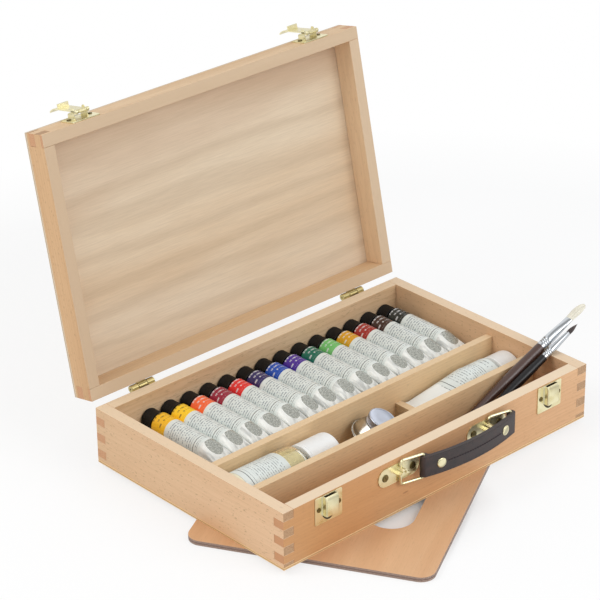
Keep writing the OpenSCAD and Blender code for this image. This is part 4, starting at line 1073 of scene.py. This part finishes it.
def flat_ferrule(start, length, r0, half_w, half_t):
    """A round ferrule that is pressed flat towards the bristles."""
    def ring(r, z):
        t = min(max((z - start - FERRULE_GROOVED) / (length - FERRULE_GROOVED), 0), 1)
        t = t * t * (3 - 2 * t)
        a, b = (1 - t) * r + t * half_t, (1 - t) * r + t * half_w
        return [(a * math.cos(2 * math.pi * k / 40), b * math.sin(2 * math.pi * k / 40), z)
                for k in range(40)]
    profile = ferrule_profile(start, length, r0, r0)
    rings = []
    for (r, z), (_, next_z) in zip(profile, profile[1:]):
        rings.append(ring(r, z))
        if next_z - z > 8:
            rings += [ring(r0, z + s * (next_z - z)) for s in (0.25, 0.5, 0.75)]
    return rings_to_mesh(rings + [ring(*profile[-1])])


def bristle_bundle(start, length, width, thick, count, tip, seed, base_w):
    """Many fine hairs that leave an oval mouth and meet along a rounded or pointed tip."""
    dice = random.Random(seed)
    parts = []
    for _ in range(count):
        a = dice.uniform(0, 2 * math.pi)
        r = math.sqrt(dice.uniform(0, 1))
        u, v = r * math.cos(a), r * math.sin(a)
        if tip == "round":
            reach = length * (1 - 0.10 * r * r - dice.uniform(0, 0.03))
            line = [(0.92 * u * width / 2, 0.92 * v * width / 2, start - 1.5),
                    (u * width * 0.50, v * width * 0.50, start + reach * 0.30),
                    (u * width * 0.34, v * width * 0.34, start + reach * 0.65),
                    (u * 0.25, v * 0.25, start + reach)]
            fat = [0.22, 0.22, 0.18, 0.05]
        else:
            crown = math.sqrt(max(1 - u * u, 0))
            reach = length * (0.72 + 0.28 * crown - dice.uniform(0, 0.05))
            line = [(v * thick * 0.42, 0.95 * u * base_w / 2, start - 1.5),
                    (v * thick * 0.50, u * width * 0.46, start + reach * 0.35),
                    (v * thick * 0.46, u * width * 0.50, start + reach * 0.7),
                    (v * thick * 0.16 + 0.5, u * width * 0.44, start + reach)]
            fat = [0.26, 0.26, 0.24, 0.10]
        bent = smooth_line(line, 3)
        radii = [fat[min(k // 3, 3)] for k in range(len(bent))]
        parts.append(pipe(bent, radii, 5, up=(0, 1, 0)))
    return parts


def bristle_shade(name, dark, light):
    m = Shade(name, rough=0.6, Sheen_Weight=0.2)
    hair = m.noise(m.scaled((1500, 1500, 60)), 1.0, 3.0, 0.6)
    m.set("Base Color", m.ramp(hair, [(0.3, dark), (0.7, light)]))
    m.set("Normal", m.bump(hair, 0.3, 0.1))
    return m.mat


CREAM = bristle_shade("cream_bristles", rgb(222, 216, 198), rgb(240, 236, 222))
SABLE = bristle_shade("dark_bristles", rgb(34, 28, 30), rgb(84, 66, 62))
# The ends of the handles stand where those of the solids do
for word, x, y, handle, paint, ferrule, tuft, hair, slot in (
        ("flat", 39.212, -83.825, (158, 5.2, 5.5), BROWN_HANDLE,
         flat_ferrule(158, 44, 5.12, 4.35, 2.1),
         bristle_bundle(202, 24, 10, 4.0, 460, "filbert", 5, 8.2), CREAM, "bristles_light"),
        ("round", 43.544, -94.525, (146, 4.0, 4.7), DARK_HANDLE,
         lathe(ferrule_profile(146, 38, 3.82, 2.25), 40),
         bristle_bundle(184, 14, 4.6, 4.6, 220, "round", 9, 4.2), SABLE, "bristles_dark")):
    brush = word + "_brush"
    place = move(x, y, BRUSH_Z) @ turn(90 - BRUSH_RISE, "Y")
    build(brush + "_handle_wood", [lathe(handle_profile(*handle), 48)], brush, paint,
          [brush + "_handle"], place, smooth=50)
    build(brush + "_ferrule_metal", [ferrule], brush, FERRULE, [brush + "_ferrule"],
          place, smooth=50)
    build(brush + "_bristle_tuft", tuft, brush, hair, [brush + "_bristles"], place,
          smooth=60)

# ---- camera, light, floor
scene = bpy.context.scene
camera = bpy.data.objects.new("camera", bpy.data.cameras.new("camera"))
scene.collection.objects.link(camera)
scene.camera = camera
camera.location = (-1.463781, -1.534246, 1.236952)
camera.rotation_euler = [math.radians(a) for a in (63.0023, 0.54488, -42.8027)]
camera.data.sensor_width = 36.0
camera.data.sensor_fit = "HORIZONTAL"
camera.data.lens = 151.47
camera.data.clip_start = 0.05
camera.data.clip_end = 30.0


def area_light(name, place, target, size, power, colour):
    lamp = bpy.data.lights.new(name, "AREA")
    lamp.energy = power
    lamp.size = size
    lamp.color = colour
    light = bpy.data.objects.new(name, lamp)
    scene.collection.objects.link(light)
    light.location = place
    aim = Vector(target) - Vector(place)
    light.rotation_euler = aim.to_track_quat("-Z", "Y").to_euler()


area_light("key", (-1.7, 0.6, 1.9), (0, 0, 0.05), 1.3, 21, (1.0, 0.98, 0.95))
area_light("fill", (0.6, -2.2, 1.5), (0, 0, 0.1), 1.6, 27, (0.95, 0.97, 1.0))

scene.view_settings.view_transform = "Standard"
world = bpy.data.worlds.new("studio")
scene.world = world
world.use_nodes = True
tree = world.node_tree
tree.nodes.clear()
given = add_node(tree, "ShaderNodeBackground", {0: (0.97, 0.985, 1.0, 1), 1: 0.66})
seen = add_node(tree, "ShaderNodeBackground", {0: (1, 1, 1, 1), 1: 1.0})
sky = add_node(tree, "ShaderNodeMixShader", {0: looked_at(tree), 1: given, 2: seen})
add_node(tree, "ShaderNodeOutputWorld", {"Surface": sky})

floor_mesh = bpy.data.meshes.new("studio_floor")
floor_mesh.from_pydata([(-8, -8, 0), (8, -8, 0), (8, 8, 0), (-8, 8, 0)], [], [(0, 1, 2, 3)])
floor = bpy.data.objects.new("studio_floor", floor_mesh)
scene.collection.objects.link(floor)
floor.location.z = -0.0004
# The camera, metal and glass see the floor mostly as plain white, with the object's shadow
# still on it. Under the thumb hole it keeps nearly all of its shadow, and far from the box it
# is white right up to where it ends, so that no horizon shows. Distances are in metres.
m = Shade("studio_floor", colour=(0.93, 0.93, 0.93, 1), rough=0.9)
white = m.add("ShaderNodeEmission", {"Color": (1, 1, 1, 1), "Strength": 1.0})
from_hole = m.vector_math("DISTANCE", m.object, (-0.048, -0.121, 0.0), "Value")
near = m.span(from_hole, 0.06, 0.10, 0.10, 0.72)
far = m.span(from_hole, 0.30, 0.90)
share = m.times(looked_at(m.tree), m.math("MAXIMUM", near, far))
ground = m.add("ShaderNodeMixShader", {0: share, 1: m.bsdf.outputs[0], 2: white})
put(m.tree, m.tree.nodes["Material Output"], "Surface", ground)
floor_mesh.materials.append(m.mat)
